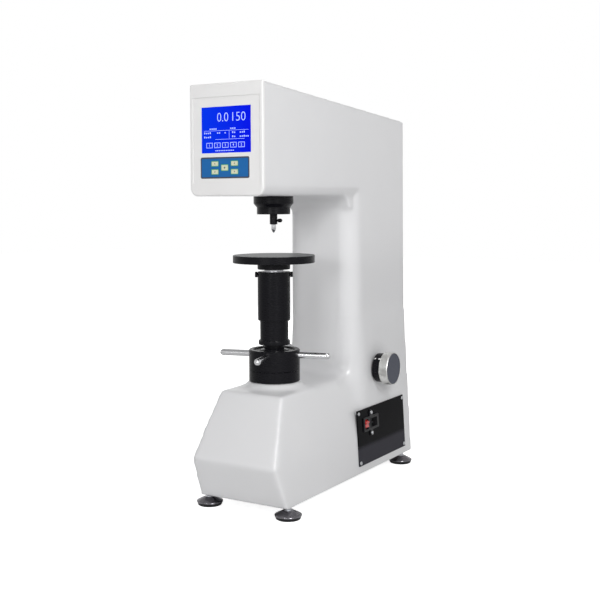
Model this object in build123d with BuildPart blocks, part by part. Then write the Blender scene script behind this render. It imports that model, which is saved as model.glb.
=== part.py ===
from build123d import *
from math import atan2, cos, radians, sin
import os

# Bench hardness tester of the Rockwell kind. A cast housing carries an elevating screw with a flat anvil,
# and above it an indenter spindle that is loaded by weights on a lever. Millimetres, +Z up, front towards -Y.
# Distances across and from front to back are measured from the axis of the elevating screw, and heights
# from the bench. The origin is under the middle of the whole tester.

# ---- driving dimensions ------------------------------------------------------------------------------

# casting
body_half_width = 76.0
base_half_width = 92.4
wall = 8.0
base_bottom = 20.5
crease_height = 94.0
base_top = 207.6
skirt_top = 335.0
head_floor = 556.5
roof_front = 750.0
roof_back = 712.0
front = -151.0
fascia_depth = 6.0
body_back = 394.0
column_front = 165.0
column_corner = 38.0
head_corner = 15.0
throat_fillet = 22.0
base_corner = 8.0
base_front_bottom = -107.4
base_front_crease = -139.6
base_front_top = -79.5
base_top_half_width = 65.3
boss_radius = 50.0
boss_flare = 14.0
boss_height = 11.9
boss_collar = 7.0

# clearances
running_fit = 0.05
slide_gap = 0.3
seat_gap = 0.3

# feet
foot_inset = 9.4
front_foot_y = -90.0
rear_foot_y = 358.0
foot_radius = 24.0
foot_sole_radius = 21.5
foot_widest = 7.0
foot_cone_top = 15.5
foot_neck_radius = 9.0
stud_radius = 6.0
stud_length = 16.0
foot_boss_radius = 22.0
foot_boss_shift = 9.0
foot_boss_height = 28.0

# covers and their countersunk screws
cover_thickness = 2.0
cover_ledge = 12.0
screw_radius = 2.0
screw_head_radius = 3.8
screw_length = 8.0
rear_cover_half_width = 70.0
rear_cover_bottom = 98.0
rear_cover_top = 672.0
top_cover_half_width = 58.0
top_cover_front = -120.0
top_cover_back = 360.0
plate_inset = 3.0
plate_screw_x = 62.0

# fascia, display and keys
fascia_corner = 15.0
fascia_top_corner = 3.0
panel_half_width = 69.0
panel_bottom = 579.0
panel_top = 726.0
panel_depth = 0.8
window_width = 102.0
window_height = 79.0
window_centre = 670.0
window_thickness = 2.0
window_ledge = 3.0
module_border = 5.0
module_depth = 12.0
membrane_width = 101.0
membrane_shift = -3.0
membrane_height = 36.5
membrane_centre = 605.2
membrane_thickness = 1.2
key_width = 13.2
key_height = 7.2
centre_key_height = 9.0
key_column = 20.3
key_row = 7.0
key_thickness = 2.5
key_proud = 0.3
key_travel = 0.4
key_clearance = 0.2
key_corner = 0.6
head_opening_half_width = 60.0
head_opening_bottom = 583.0
head_opening_top = 722.0

# handwheel and its bearing
hub_radius = 46.7
base_ring_height = 19.7
hub_height = 37.3
hub_chamfer = 1.5
hub_recess_outer = 39.0
hub_recess_inner = 25.0
hub_recess_depth = 3.0
ring_inner = 43.0
race_outer = 42.0
race_inner = 24.0
race_height = 5.0
ball_radius = 4.0
ball_count = 16
ball_gap = 0.05
spoke_count = 4
spoke_radius = 6.0
spoke_rise = 27.5
spoke_reach = 105.3
spoke_root = 33.0
spoke_tip_radius = 3.5
first_spoke_angle = -75.0

# elevating screw, nut, guide and sleeves
lift_radius = 15.0
lift_bottom = 78.0
lift_collar_radius = 27.0
lift_collar_height = 10.0
lift_neck_radius = 17.5
lift_neck_height = 3.9
keyway_half_width = 4.0
keyway_floor = 11.0
keyway_top = 185.0
nut_radius = 22.0
nut_bottom = 150.0
nut_neck_radius = 18.5
nut_rise = 8.7
tube_radius = 40.0
tube_bottom = 118.0
guide_radius = 28.0
guide_height = 24.0
key_inset = 4.0
guide_key_height = 18.0
sleeve_flange_radius = 29.0
sleeve_flange_height = 7.5
inner_sleeve_radius = 26.0
inner_sleeve_bore = 23.0
inner_sleeve_top = 372.0
sleeve_floor = 2.5
outer_sleeve_radius = 29.75
outer_sleeve_bottom = 329.5
outer_sleeve_top = 418.7
sleeve_screw_drop = 5.5
sleeve_screw_head_radius = 5.2
sleeve_screw_head_height = 5.0
sleeve_screw_depth = 6.0
sleeve_screw_angle = 32.0

# anvil
anvil_hub_radius = 30.0
anvil_hub_height = 12.4
anvil_stem_radius = 9.5
anvil_stem_length = 34.0
anvil_spigot_radius = 12.0
anvil_spigot_height = 6.0
anvil_radius = 75.0
anvil_thickness = 13.8
anvil_chamfer = 0.8

# spindle and indenter
cover_radius = 36.5
cover_rim_height = 13.5
cover_cone_height = 7.0
cover_nose_radius = 30.5
cover_depth = 33.1
cover_bore = 18.0
cover_floor = 3.0
spindle_radius = 12.0
spindle_drop = 26.5
spindle_top = 630.0
spindle_tip_radius = 2.0
nose_radius = 7.0
nose_length = 25.0
bush_wall = 4.0
spindle_boss_radius = 24.0
spindle_boss_height = 30.0
spring_wire = 1.2
spring_turns = 6
spring_length = 19.0
collar_radius = 17.0
collar_height = 4.0
indenter_radius = 4.3
indenter_shank_radius = 3.175
indenter_shank_length = 18.0
indenter_reach = 13.5
indenter_cone_length = 4.5
indenter_cone_radius = 2.2
tip_length = 2.1
tip_point_radius = 0.3
clamp_rise = 7.0
clamp_reach = 18.0
clamp_head_radius = 3.5
clamp_head_start = 9.0
clamp_shank_radius = 2.0

# loading lever, hanger and weights
pivot_y = -25.0
pivot_height = 652.0
pivot_pin_radius = 5.0
lever_half_width = 10.0
lever_bottom = 640.0
lever_top = 665.0
lever_end = 292.0
lever_hub_radius = 12.0
bracket_inner = 27.0
bracket_thickness = 8.0
bracket_depth = 30.0
bracket_crown = 12.0
hanger_y = 275.0
hanger_bar_radius = 5.0
hanger_side = 5.0
hanger_drop = 620.0
hanger_foot_bar = 8.0
rod_radius = 6.0
weight_tray_radius = 20.0
weight_tray_height = 6.0
weight_bottom = 50.0
weight_radius = 56.0
weight_heights = [48.0, 32.0, 38.0]

# loading motor and cam
cam_y = 230.0
cam_high = 26.0
cam_eccentricity = 8.0
cam_half_width = 8.0
cam_shaft_radius = 5.0
cam_shaft_depth = 12.0
motor_radius = 30.0
motor_length = 48.0

# sensor, board and power supply
sensor_half_depth = 9.0
sensor_bottom = 613.5
sensor_height = 15.0
sensor_reach = 42.0
sensor_leg = 12.0
board_height = 180.0
board_depth = 140.0
board_thickness = 1.6
board_centre_y = 280.0
board_centre_z = 450.0
standoff_radius = 4.0
standoff_length = 6.0
standoff_inset = 8.0
chip_size = 24.0
chip_height = 4.0
supply_half_width = 50.0
supply_front = 60.0
supply_depth = 80.0
supply_height = 50.0

# side panel, power inlet and rocker
panel_front_y = 156.0
panel_back_y = 360.0
panel_low = 35.5
panel_high = 142.0
panel_plate = 2.0
panel_ledge = 14.0
panel_screw_inset = 6.0
panel_screw_radius = 3.6
panel_screw_height = 2.2
panel_screw_length = 6.0
panel_pad_margin = 6.0
pad_sink = 0.3
pad_corner = 4.0
inlet_y = 210.0
inlet_z = 111.5
inlet_width = 62.0
inlet_height = 27.0
inlet_flange = 2.4
inlet_body_margin = 3.0
inlet_body_depth = 30.0
ear_pitch = 40.0
ear_radius = 5.5
rocker_offset = -20.0
rocker_width = 13.0
rocker_radius = 9.8
rocker_pivot_depth = 4.5
rocker_valley = 5.0
rocker_crest = 8.6
rocker_foot = 3.0
rocker_tilt = 8.0
rocker_pocket = 12.0
socket_offset = 10.0
socket_width = 25.0
socket_height = 17.0
socket_depth = 16.0
blade_width = 2.0
blade_height = 4.0
blade_length = 10.0
blade_spread = 7.0
blade_rise = 3.0

# force knob and selector
knob_y = 252.0
knob_height = 214.0
knob_hub_radius = 28.6
knob_gap = 1.0
knob_hub_length = 17.2
knob_ring_radius = 31.8
knob_cap_radius = 26.0
knob_ring_length = 18.0
knob_cap_sink = 0.5
selector_radius = 8.0
selector_inner = 22.0
selector_bush_radius = 14.0
selector_bush_inner = 60.0
selector_boss_radius = 24.0
selector_cam_radius = 20.0
selector_cam_corner = 5.0
selector_cam_start = 26.0
selector_cam_width = 14.0

# ---- derived places ----------------------------------------------------------------------------------

os.makedirs("parts", exist_ok=True)

side_lean = (base_half_width - body_half_width) / (skirt_top - base_bottom)


def half_width_at(height):
    """Half the width of the leaning sides of the base and column at a height."""
    return base_half_width - side_lean * (height - base_bottom)


boss_top = base_top + boss_height
hub_bottom = boss_top + base_ring_height + slide_gap
hub_top = hub_bottom + hub_height
spoke_height = hub_bottom + spoke_rise
nut_top = hub_top + nut_rise
cover_step = head_floor - cover_rim_height
cover_cone_bottom = cover_step - cover_cone_height
cover_bottom = head_floor - cover_depth
spindle_shoulder = head_floor - spindle_drop
nose_bottom = spindle_shoulder - nose_length
clamp_height = nose_bottom + clamp_rise
indenter_bottom = nose_bottom - indenter_reach
tip_bottom = indenter_bottom - tip_length
knob_hub_start = half_width_at(knob_height - knob_hub_radius) + knob_gap
knob_step = knob_hub_start + knob_hub_length
knob_face = knob_step + knob_ring_length

# the screw axis stands where the middle of the whole tester falls on the origin
spoke_tilt = radians(90 + first_spoke_angle)
spoke_span = spoke_reach * cos(spoke_tilt) + spoke_radius * sin(spoke_tilt)
screw_x = (spoke_span - knob_face) / 2
screw_y = -(front + body_back) / 2

casting_front = front + fascia_depth
side_angle = atan2(base_half_width - body_half_width, skirt_top - base_bottom)
front_lean = (base_front_bottom - base_front_crease) / (crease_height - base_bottom)
roof_slope = (roof_front - roof_back) / (body_back - front)
roof_angle = atan2(roof_front - roof_back, body_back - front)
foot_x = base_half_width - foot_inset
boss_x = foot_x - foot_boss_shift
plate_hole = stud_radius + slide_gap
screw_hole = screw_radius + running_fit


def base_front_at(height):
    """Where the undercut front of the base stands at a height below the crease."""
    return base_front_bottom - front_lean * (height - base_bottom)


def roof_at(y):
    """Height of the sloping roof at a distance behind the screw axis."""
    return roof_front - roof_slope * (y - front)


def level(height):
    """Level plane centred on the screw axis."""
    return Plane((screw_x, screw_y, height))


def facing_front(y):
    """Upright plane across the tester that faces its front, drawn in x and height."""
    return Plane(origin=(screw_x, screw_y + y, 0), x_dir=(1, 0, 0), z_dir=(0, -1, 0))


def facing_right(x):
    """Upright plane along the tester that faces its right side, drawn in y and height."""
    return Plane(origin=(screw_x + x, screw_y, 0), x_dir=(0, 1, 0), z_dir=(1, 0, 0))


def facing_sleeve_screw(distance):
    """Upright plane square to the line of the sleeve screws, at a distance from the screw axis."""
    turn = radians(sleeve_screw_angle)
    outward = Vector(cos(turn), sin(turn), 0)
    along = Vector(-sin(turn), cos(turn), 0)
    return Plane(origin=Vector(screw_x, screw_y, 0) + outward * distance, x_dir=along, z_dir=outward)


screw_axis = Axis((screw_x, screw_y, 0), (0, 0, 1))
side_plane = Plane(
    origin=(screw_x + base_half_width, screw_y, base_bottom),
    x_dir=(0, 1, 0),
    z_dir=(cos(side_angle), 0, sin(side_angle)),
)
roof_middle = (top_cover_front + top_cover_back) / 2
roof_plane = Plane(
    origin=(screw_x, screw_y + roof_middle, roof_at(roof_middle)),
    x_dir=(1, 0, 0),
    z_dir=(0, sin(roof_angle), cos(roof_angle)),
)


def up_the_side(height):
    """Distance up the leaning side at which a height is reached."""
    return (height - base_bottom) / cos(side_angle)


# ---- casting -----------------------------------------------------------------------------------------


def floor_plan(height, half_width, plan_front, plan_back, corner):
    """Outline of the casting at one height, with its two front corners rounded."""
    with BuildSketch(level(height)) as plan:
        with Locations((0, (plan_front + plan_back) / 2)):
            Rectangle(2 * half_width, plan_back - plan_front)
        fillet(plan.vertices().group_by(Axis.Y)[0], corner)
    return plan.sketch


def casting_form(inset):
    """Outer form of the casting; with an inset, the space inside its walls, open below."""
    bottom = base_bottom - inset
    back = body_back - inset
    with BuildPart() as form:
        # head, seen from the side, with its lower edges rounded
        with BuildSketch(facing_right(0)):
            with BuildLine():
                Polyline(
                    (casting_front + inset, head_floor + inset),
                    (back, head_floor + inset),
                    (back, roof_at(body_back) - inset),
                    (casting_front + inset, roof_at(casting_front) - inset),
                    close=True,
                )
            make_face()
        extrude(amount=body_half_width - inset, both=True)
        fillet(form.edges().filter_by(Axis.Y).group_by(Axis.Z)[0], head_corner - inset)
        # upright column
        column = floor_plan(
            bottom, body_half_width - inset, column_front + inset, back, column_corner - inset
        )
        extrude(column, amount=head_floor + head_corner + inset - bottom)
        # leaning skirt of the column
        skirt_low = floor_plan(
            bottom, half_width_at(bottom) - inset, column_front + inset, back, column_corner - inset
        )
        skirt_high = floor_plan(
            skirt_top, body_half_width - inset, column_front + inset, back, column_corner - inset
        )
        loft([skirt_low, skirt_high], ruled=True)
        # flat pad of the side panel, just under the face of the skirt
        pad_top = panel_high + panel_pad_margin - inset
        pad_front = panel_front_y - panel_pad_margin + inset
        pad_back = column_front + 2 * column_corner
        pad_inset = inset + pad_sink
        pad_low = floor_plan(bottom, half_width_at(bottom) - pad_inset, pad_front, pad_back, pad_corner)
        pad_high = floor_plan(pad_top, half_width_at(pad_top) - pad_inset, pad_front, pad_back, pad_corner)
        loft([pad_low, pad_high], ruled=True)
        # undercut lower part of the base
        inner_corner = base_corner - inset / 2
        low = floor_plan(
            bottom, half_width_at(bottom) - inset, base_front_at(bottom) + inset, back, inner_corner
        )
        crease = floor_plan(
            crease_height, half_width_at(crease_height) - inset, base_front_crease + inset, back, inner_corner
        )
        loft([low, crease], ruled=True)
        # upper part of the base, leaning in to its top
        shoulder_back = column_front + column_corner
        shoulder = floor_plan(
            crease_height,
            half_width_at(crease_height) - inset,
            base_front_crease + inset,
            shoulder_back,
            inner_corner,
        )
        top = floor_plan(
            base_top - inset, base_top_half_width - inset, base_front_top + inset, shoulder_back, inner_corner
        )
        loft([shoulder, top], ruled=True)
    return form.part


with BuildPart() as cavity:
    add(casting_form(wall))
    # bosses that stay solid: feet, screw tube, spindle and selector
    with BuildSketch(level(base_bottom - wall)):
        with Locations(*[(x, y) for x in (-boss_x, boss_x) for y in (front_foot_y, rear_foot_y)]):
            Circle(foot_boss_radius)
    extrude(amount=wall + foot_boss_height, mode=Mode.SUBTRACT)
    with BuildSketch(level(tube_bottom)):
        Circle(tube_radius)
    extrude(amount=base_top - tube_bottom, mode=Mode.SUBTRACT)
    with BuildSketch(level(head_floor)):
        Circle(spindle_boss_radius)
    extrude(amount=spindle_boss_height, mode=Mode.SUBTRACT)
    with BuildSketch(facing_right(selector_bush_inner)):
        with Locations((knob_y, knob_height)):
            Circle(selector_boss_radius)
    extrude(amount=base_half_width - selector_bush_inner, mode=Mode.SUBTRACT)

foot_places = [(x, y) for x in (-foot_x, foot_x) for y in (front_foot_y, rear_foot_y)]
plate_screws = [(x, y) for x in (-plate_screw_x, plate_screw_x) for y in (front_foot_y, rear_foot_y)]
rear_cover_middle = (rear_cover_bottom + rear_cover_top) / 2
rear_cover_height = rear_cover_top - rear_cover_bottom
rear_screw_x = rear_cover_half_width - cover_ledge / 2
rear_screw_spread = rear_cover_height / 2 - cover_ledge / 2
rear_screws = [
    (x, rear_cover_middle + row * rear_screw_spread) for x in (-rear_screw_x, rear_screw_x) for row in (-1, 0, 1)
]
top_cover_length = top_cover_back - top_cover_front
top_screw_x = top_cover_half_width - cover_ledge / 2
top_screw_spread = top_cover_length / 2 - cover_ledge / 2
top_screws = [(x, row * top_screw_spread) for x in (-top_screw_x, top_screw_x) for row in (-1, 0, 1)]
side_panel_low = up_the_side(panel_low)
side_panel_high = up_the_side(panel_high)
side_panel_middle = ((panel_front_y + panel_back_y) / 2, (side_panel_low + side_panel_high) / 2)
side_panel_width = panel_back_y - panel_front_y
side_panel_height = side_panel_high - side_panel_low
side_screws = [
    (
        side_panel_middle[0] + i * (side_panel_width / 2 - panel_screw_inset),
        side_panel_middle[1] + j * (side_panel_height / 2 - panel_screw_inset),
    )
    for i in (-1, 1)
    for j in (-1, 1)
]

inlet_middle = (inlet_y, up_the_side(inlet_z))
ear_places = [(inlet_middle[0], inlet_middle[1] + n * ear_pitch / 2) for n in (-1, 1)]

with BuildPart() as housing:
    add(casting_form(0))
    # round boss that carries the handwheel
    with BuildSketch(facing_front(0)):
        with BuildLine():
            Polyline(
                (0, base_top - wall),
                (boss_radius + boss_flare, base_top - wall),
                (boss_radius + boss_flare, base_top),
                (boss_radius, boss_top - boss_collar),
                (boss_radius, boss_top),
                (0, boss_top),
                close=True,
            )
        make_face()
    revolve(axis=screw_axis)
    # fillet in the throat, between the head floor and the column
    with BuildSketch(facing_right(0)):
        with BuildLine():
            Line((column_front - throat_fillet, head_floor), (column_front, head_floor))
            Line((column_front, head_floor), (column_front, head_floor - throat_fillet))
            RadiusArc(
                (column_front, head_floor - throat_fillet),
                (column_front - throat_fillet, head_floor),
                -throat_fillet,
            )
        make_face()
    extrude(amount=body_half_width - column_corner, both=True)
    add(cavity.part, mode=Mode.SUBTRACT)
    # bore of the lift nut and, below it, the seat of the guide bush
    with BuildSketch(level(tube_bottom)):
        Circle(nut_radius + running_fit)
    extrude(amount=boss_top - tube_bottom, mode=Mode.SUBTRACT)
    with BuildSketch(level(tube_bottom)):
        Circle(guide_radius)
    extrude(amount=guide_height, mode=Mode.SUBTRACT)
    # bores of the spindle bush and the selector bush
    with BuildSketch(level(head_floor)):
        Circle(spindle_radius + bush_wall)
    extrude(amount=spindle_boss_height, mode=Mode.SUBTRACT)
    with BuildSketch(facing_right(selector_bush_inner)):
        with Locations((knob_y, knob_height)):
            Circle(selector_bush_radius)
    extrude(amount=base_half_width - selector_bush_inner, mode=Mode.SUBTRACT)
    # threaded holes of the feet and recess of the bottom plate
    with BuildSketch(level(base_bottom)):
        with Locations(*foot_places):
            Circle(stud_radius + running_fit)
    extrude(amount=stud_length, mode=Mode.SUBTRACT)
    plate_recess = floor_plan(
        base_bottom,
        base_half_width - plate_inset,
        base_front_bottom + plate_inset,
        body_back - plate_inset,
        base_corner,
    )
    extrude(plate_recess, amount=cover_thickness, mode=Mode.SUBTRACT)
    with BuildSketch(level(base_bottom)):
        with Locations(*plate_screws):
            Circle(screw_hole)
    extrude(amount=screw_length + slide_gap, mode=Mode.SUBTRACT)
    # opening behind the fascia
    with BuildSketch(facing_front(casting_front)):
        with Locations((0, (head_opening_bottom + head_opening_top) / 2)):
            Rectangle(2 * head_opening_half_width, head_opening_top - head_opening_bottom)
    extrude(amount=-wall, mode=Mode.SUBTRACT)
    # rear opening with the recess and screw holes of its cover
    with BuildSketch(facing_front(body_back)):
        with Locations((0, rear_cover_middle)):
            Rectangle(2 * rear_cover_half_width, rear_cover_height)
    extrude(amount=cover_thickness, mode=Mode.SUBTRACT)
    with BuildSketch(facing_front(body_back)):
        with Locations((0, rear_cover_middle)):
            Rectangle(2 * (rear_cover_half_width - cover_ledge), rear_cover_height - 2 * cover_ledge)
        with Locations(*rear_screws):
            Circle(screw_hole)
    extrude(amount=wall, mode=Mode.SUBTRACT)
    # roof opening with the recess and screw holes of its cover
    with BuildSketch(roof_plane):
        Rectangle(2 * top_cover_half_width, top_cover_length)
    extrude(amount=-cover_thickness, mode=Mode.SUBTRACT)
    with BuildSketch(roof_plane):
        Rectangle(2 * (top_cover_half_width - cover_ledge), top_cover_length - 2 * cover_ledge)
        with Locations(*top_screws):
            Circle(screw_hole)
    extrude(amount=-wall - cover_thickness, mode=Mode.SUBTRACT)
    # side opening behind the side panel, and the screw holes round it
    with BuildSketch(side_plane):
        with Locations(side_panel_middle):
            Rectangle(side_panel_width - 2 * panel_ledge, side_panel_height - 2 * panel_ledge)
    extrude(amount=-inlet_body_depth, mode=Mode.SUBTRACT)
    with BuildSketch(side_plane):
        with Locations(*side_screws, *ear_places):
            Circle(screw_hole)
    extrude(amount=-screw_length, mode=Mode.SUBTRACT)
housing.part.label = "housing"
export_step(housing.part, "parts/housing.step")

# ---- covers ------------------------------------------------------------------------------------------


def countersunk_holes(places, plane):
    """Cuts countersunk screw holes into the cover being built."""
    with BuildSketch(plane) as holes:
        with Locations(*places):
            Circle(screw_hole)
    extrude(holes.sketch, amount=-cover_thickness, mode=Mode.SUBTRACT)
    with Locations(plane):
        with Locations(*places):
            Cone(
                screw_hole,
                screw_head_radius + running_fit,
                cover_thickness,
                align=(Align.CENTER, Align.CENTER, Align.MAX),
                mode=Mode.SUBTRACT,
            )


rear_plane = Plane(origin=(screw_x, screw_y + body_back, 0), x_dir=(-1, 0, 0), z_dir=(0, 1, 0))

with BuildPart() as rear_cover:
    with BuildSketch(rear_plane):
        with Locations((0, rear_cover_middle)):
            Rectangle(2 * rear_cover_half_width - 2 * slide_gap, rear_cover_height - 2 * slide_gap)
    extrude(amount=-cover_thickness)
    countersunk_holes(rear_screws, rear_plane)
rear_cover.part.label = "rear_cover"
export_step(rear_cover.part, "parts/rear_cover.step")

with BuildPart() as top_cover:
    with BuildSketch(roof_plane):
        Rectangle(2 * top_cover_half_width - 2 * slide_gap, top_cover_length - 2 * slide_gap)
    extrude(amount=-cover_thickness)
    countersunk_holes(top_screws, roof_plane)
top_cover.part.label = "top_cover"
export_step(top_cover.part, "parts/top_cover.step")

bottom_plane = level(base_bottom).rotated((180, 0, 0))
bottom_screws = [(x, -y) for x, y in plate_screws]

with BuildPart() as bottom_plate:
    plate = floor_plan(
        base_bottom,
        base_half_width - plate_inset - slide_gap,
        base_front_bottom + plate_inset + slide_gap,
        body_back - plate_inset - slide_gap,
        base_corner,
    )
    extrude(plate, amount=cover_thickness)
    with BuildSketch(level(base_bottom)):
        with Locations(*foot_places):
            Circle(plate_hole)
    extrude(amount=cover_thickness, mode=Mode.SUBTRACT)
    countersunk_holes(bottom_screws, bottom_plane)
bottom_plate.part.label = "bottom_plate"
export_step(bottom_plate.part, "parts/bottom_plate.step")


def countersunk_screws(places, plane):
    """Countersunk screws with their heads flush in a cover."""
    with Locations(plane):
        with Locations(*places):
            Cone(
                screw_radius,
                screw_head_radius,
                cover_thickness,
                align=(Align.CENTER, Align.CENTER, Align.MAX),
            )
            with Locations((0, 0, -cover_thickness)):
                Cylinder(
                    screw_radius,
                    screw_length - cover_thickness,
                    align=(Align.CENTER, Align.CENTER, Align.MAX),
                )


with BuildPart() as cover_screws:
    countersunk_screws(rear_screws, rear_plane)
    countersunk_screws(top_screws, roof_plane)
    countersunk_screws(bottom_screws, bottom_plane)
cover_screws.part.label = "cover_screws"
export_step(cover_screws.part, "parts/cover_screws.step")

# ---- fascia, display and keys ------------------------------------------------------------------------

panel_face = front + panel_depth
key_floor = front - key_proud + panel_depth + key_thickness + key_travel + key_clearance
key_places = {
    "key_1": (membrane_shift - key_column, key_row),
    "key_2": (membrane_shift + key_column, key_row),
    "key_3": (membrane_shift - key_column, -key_row),
    "key_4": (membrane_shift + key_column, -key_row),
    "key_5": (membrane_shift, 0),
}


def key_outline(name, margin, mode=Mode.ADD):
    """Rounded outline of a key, grown by a margin."""
    height = centre_key_height if name == "key_5" else key_height
    RectangleRounded(key_width + 2 * margin, height + 2 * margin, key_corner + margin, mode=mode)


with BuildPart() as front_fascia:
    with BuildSketch(facing_front(casting_front)) as fascia_outline:
        with Locations((0, (head_floor + roof_at(front)) / 2)):
            Rectangle(2 * body_half_width, roof_at(front) - head_floor)
        fillet(fascia_outline.vertices().group_by(Axis.Y)[0], fascia_corner)
        fillet(fascia_outline.vertices().group_by(Axis.Y)[-1], fascia_top_corner)
    extrude(amount=fascia_depth)
    # sunk panel between the two seams
    with BuildSketch(facing_front(front)):
        with Locations((0, (panel_bottom + panel_top) / 2)):
            Rectangle(2 * panel_half_width, panel_top - panel_bottom)
    extrude(amount=-panel_depth, mode=Mode.SUBTRACT)
    # seat and opening of the display window
    with BuildSketch(facing_front(panel_face)):
        with Locations((0, window_centre)):
            Rectangle(window_width + 2 * running_fit, window_height + 2 * running_fit)
    extrude(amount=-window_thickness, mode=Mode.SUBTRACT)
    with BuildSketch(facing_front(front)):
        with Locations((0, window_centre)):
            Rectangle(window_width - 2 * window_ledge, window_height - 2 * window_ledge)
    extrude(amount=-fascia_depth, mode=Mode.SUBTRACT)
    # seat of the membrane and pockets behind the keys
    with BuildSketch(facing_front(panel_face)):
        with Locations((membrane_shift, membrane_centre)):
            Rectangle(membrane_width + 2 * running_fit, membrane_height + 2 * running_fit)
    extrude(amount=-membrane_thickness, mode=Mode.SUBTRACT)
    with BuildSketch(facing_front(panel_face)):
        for key_name, (key_x, key_z) in key_places.items():
            with Locations((key_x, membrane_centre + key_z)):
                key_outline(key_name, key_clearance)
    extrude(amount=panel_face - key_floor, mode=Mode.SUBTRACT)
front_fascia.part.label = "front_fascia"
export_step(front_fascia.part, "parts/front_fascia.step")

with BuildPart() as display_window:
    with BuildSketch(facing_front(panel_face)):
        with Locations((0, window_centre)):
            Rectangle(window_width, window_height)
    extrude(amount=-window_thickness)
display_window.part.label = "display_window"
export_step(display_window.part, "parts/display_window.step")

with BuildPart() as display_module:
    with BuildSketch(facing_front(casting_front)):
        with Locations((0, window_centre)):
            Rectangle(window_width + 2 * module_border, window_height + 2 * module_border)
    extrude(amount=-module_depth)
display_module.part.label = "display_module"
export_step(display_module.part, "parts/display_module.step")

with BuildPart() as membrane_panel:
    with BuildSketch(facing_front(panel_face)):
        with Locations((membrane_shift, membrane_centre)):
            Rectangle(membrane_width, membrane_height)
        for key_name, (key_x, key_z) in key_places.items():
            with Locations((key_x, membrane_centre + key_z)):
                key_outline(key_name, key_clearance, Mode.SUBTRACT)
    extrude(amount=-membrane_thickness)
membrane_panel.part.label = "membrane_panel"
export_step(membrane_panel.part, "parts/membrane_panel.step")

for key_name, (key_x, key_z) in key_places.items():
    with BuildPart() as key:
        with BuildSketch(facing_front(panel_face - key_proud)):
            with Locations((key_x, membrane_centre + key_z)):
                key_outline(key_name, 0)
        extrude(amount=-key_thickness)
    key.part.label = key_name
    export_step(key.part, f"parts/{key_name}.step")

# ---- handwheel and its bearing -----------------------------------------------------------------------

race_top = boss_top + race_height
upper_race_bottom = race_top + 2 * ball_radius + 2 * ball_gap
upper_race_top = upper_race_bottom + race_height
hub_spigot = upper_race_top + slide_gap

with BuildPart() as hub_base_ring:
    with BuildSketch(level(boss_top)):
        Circle(hub_radius)
        Circle(ring_inner, mode=Mode.SUBTRACT)
    extrude(amount=base_ring_height)
hub_base_ring.part.label = "hub_base_ring"
export_step(hub_base_ring.part, "parts/hub_base_ring.step")

with BuildPart() as thrust_bearing:
    with BuildSketch(level(boss_top)):
        Circle(race_outer)
        Circle(race_inner, mode=Mode.SUBTRACT)
    extrude(amount=race_height)
    with BuildSketch(level(upper_race_bottom)):
        Circle(race_outer)
        Circle(race_inner, mode=Mode.SUBTRACT)
    extrude(amount=race_height)
    with Locations(level(race_top + ball_gap + ball_radius)):
        with PolarLocations((race_outer + race_inner) / 2, ball_count):
            Sphere(ball_radius)
thrust_bearing.part.label = "thrust_bearing"
export_step(thrust_bearing.part, "parts/thrust_bearing.step")

spoke_angles = [first_spoke_angle + n * 360 / spoke_count for n in range(spoke_count)]


def spoke_plane(angle, distance):
    """Plane across a spoke at a distance from the screw axis, facing outwards."""
    outward = (cos(radians(angle)), sin(radians(angle)), 0)
    place = (screw_x + distance * outward[0], screw_y + distance * outward[1], spoke_height)
    return Plane(origin=place, x_dir=(0, 0, 1), z_dir=outward)


with BuildPart() as handwheel_hub:
    with BuildSketch(facing_front(0)):
        with BuildLine():
            Polyline(
                (nut_radius, hub_spigot),
                (race_outer + slide_gap, hub_spigot),
                (race_outer + slide_gap, hub_bottom),
                (hub_radius, hub_bottom),
                (hub_radius, hub_top - hub_chamfer),
                (hub_radius - hub_chamfer, hub_top),
                (hub_recess_outer, hub_top),
                (hub_recess_outer, hub_top - hub_recess_depth),
                (hub_recess_inner, hub_top - hub_recess_depth),
                (hub_recess_inner, hub_top),
                (nut_radius, hub_top),
                close=True,
            )
        make_face()
    revolve(axis=screw_axis)
    for spoke_angle in spoke_angles:
        with BuildSketch(spoke_plane(spoke_angle, spoke_root)):
            Circle(spoke_radius)
        extrude(amount=hub_radius - spoke_root + spoke_radius, mode=Mode.SUBTRACT)
handwheel_hub.part.label = "handwheel_hub"
export_step(handwheel_hub.part, "parts/handwheel_hub.step")

with BuildPart() as handwheel_spokes:
    for spoke_angle in spoke_angles:
        with BuildSketch(spoke_plane(spoke_angle, spoke_root)):
            Circle(spoke_radius)
        extrude(amount=spoke_reach - spoke_root)
    tip_edges = handwheel_spokes.edges().filter_by(GeomType.CIRCLE)
    tip_centre = Vector(screw_x, screw_y, spoke_height)
    outer_edges = [edge for edge in tip_edges if (edge.arc_center - tip_centre).length > hub_radius]
    fillet(outer_edges, spoke_tip_radius)
handwheel_spokes.part.label = "handwheel_spokes"
export_step(handwheel_spokes.part, "parts/handwheel_spokes.step")

# ---- elevating screw, nut, guide and sleeves ---------------------------------------------------------

collar_bottom = outer_sleeve_top - lift_collar_height
neck_top = outer_sleeve_top + lift_neck_height
sleeve_screw_height = outer_sleeve_top - sleeve_screw_drop

with BuildPart() as lift_nut:
    with BuildSketch(level(nut_bottom)):
        Circle(nut_radius)
    extrude(amount=hub_top - nut_bottom)
    with BuildSketch(level(hub_top)):
        Circle(nut_neck_radius)
    extrude(amount=nut_top - hub_top)
    with BuildSketch(level(nut_bottom)):
        Circle(lift_radius + running_fit)
    extrude(amount=nut_top - nut_bottom, mode=Mode.SUBTRACT)
lift_nut.part.label = "lift_nut"
export_step(lift_nut.part, "parts/lift_nut.step")

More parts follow.
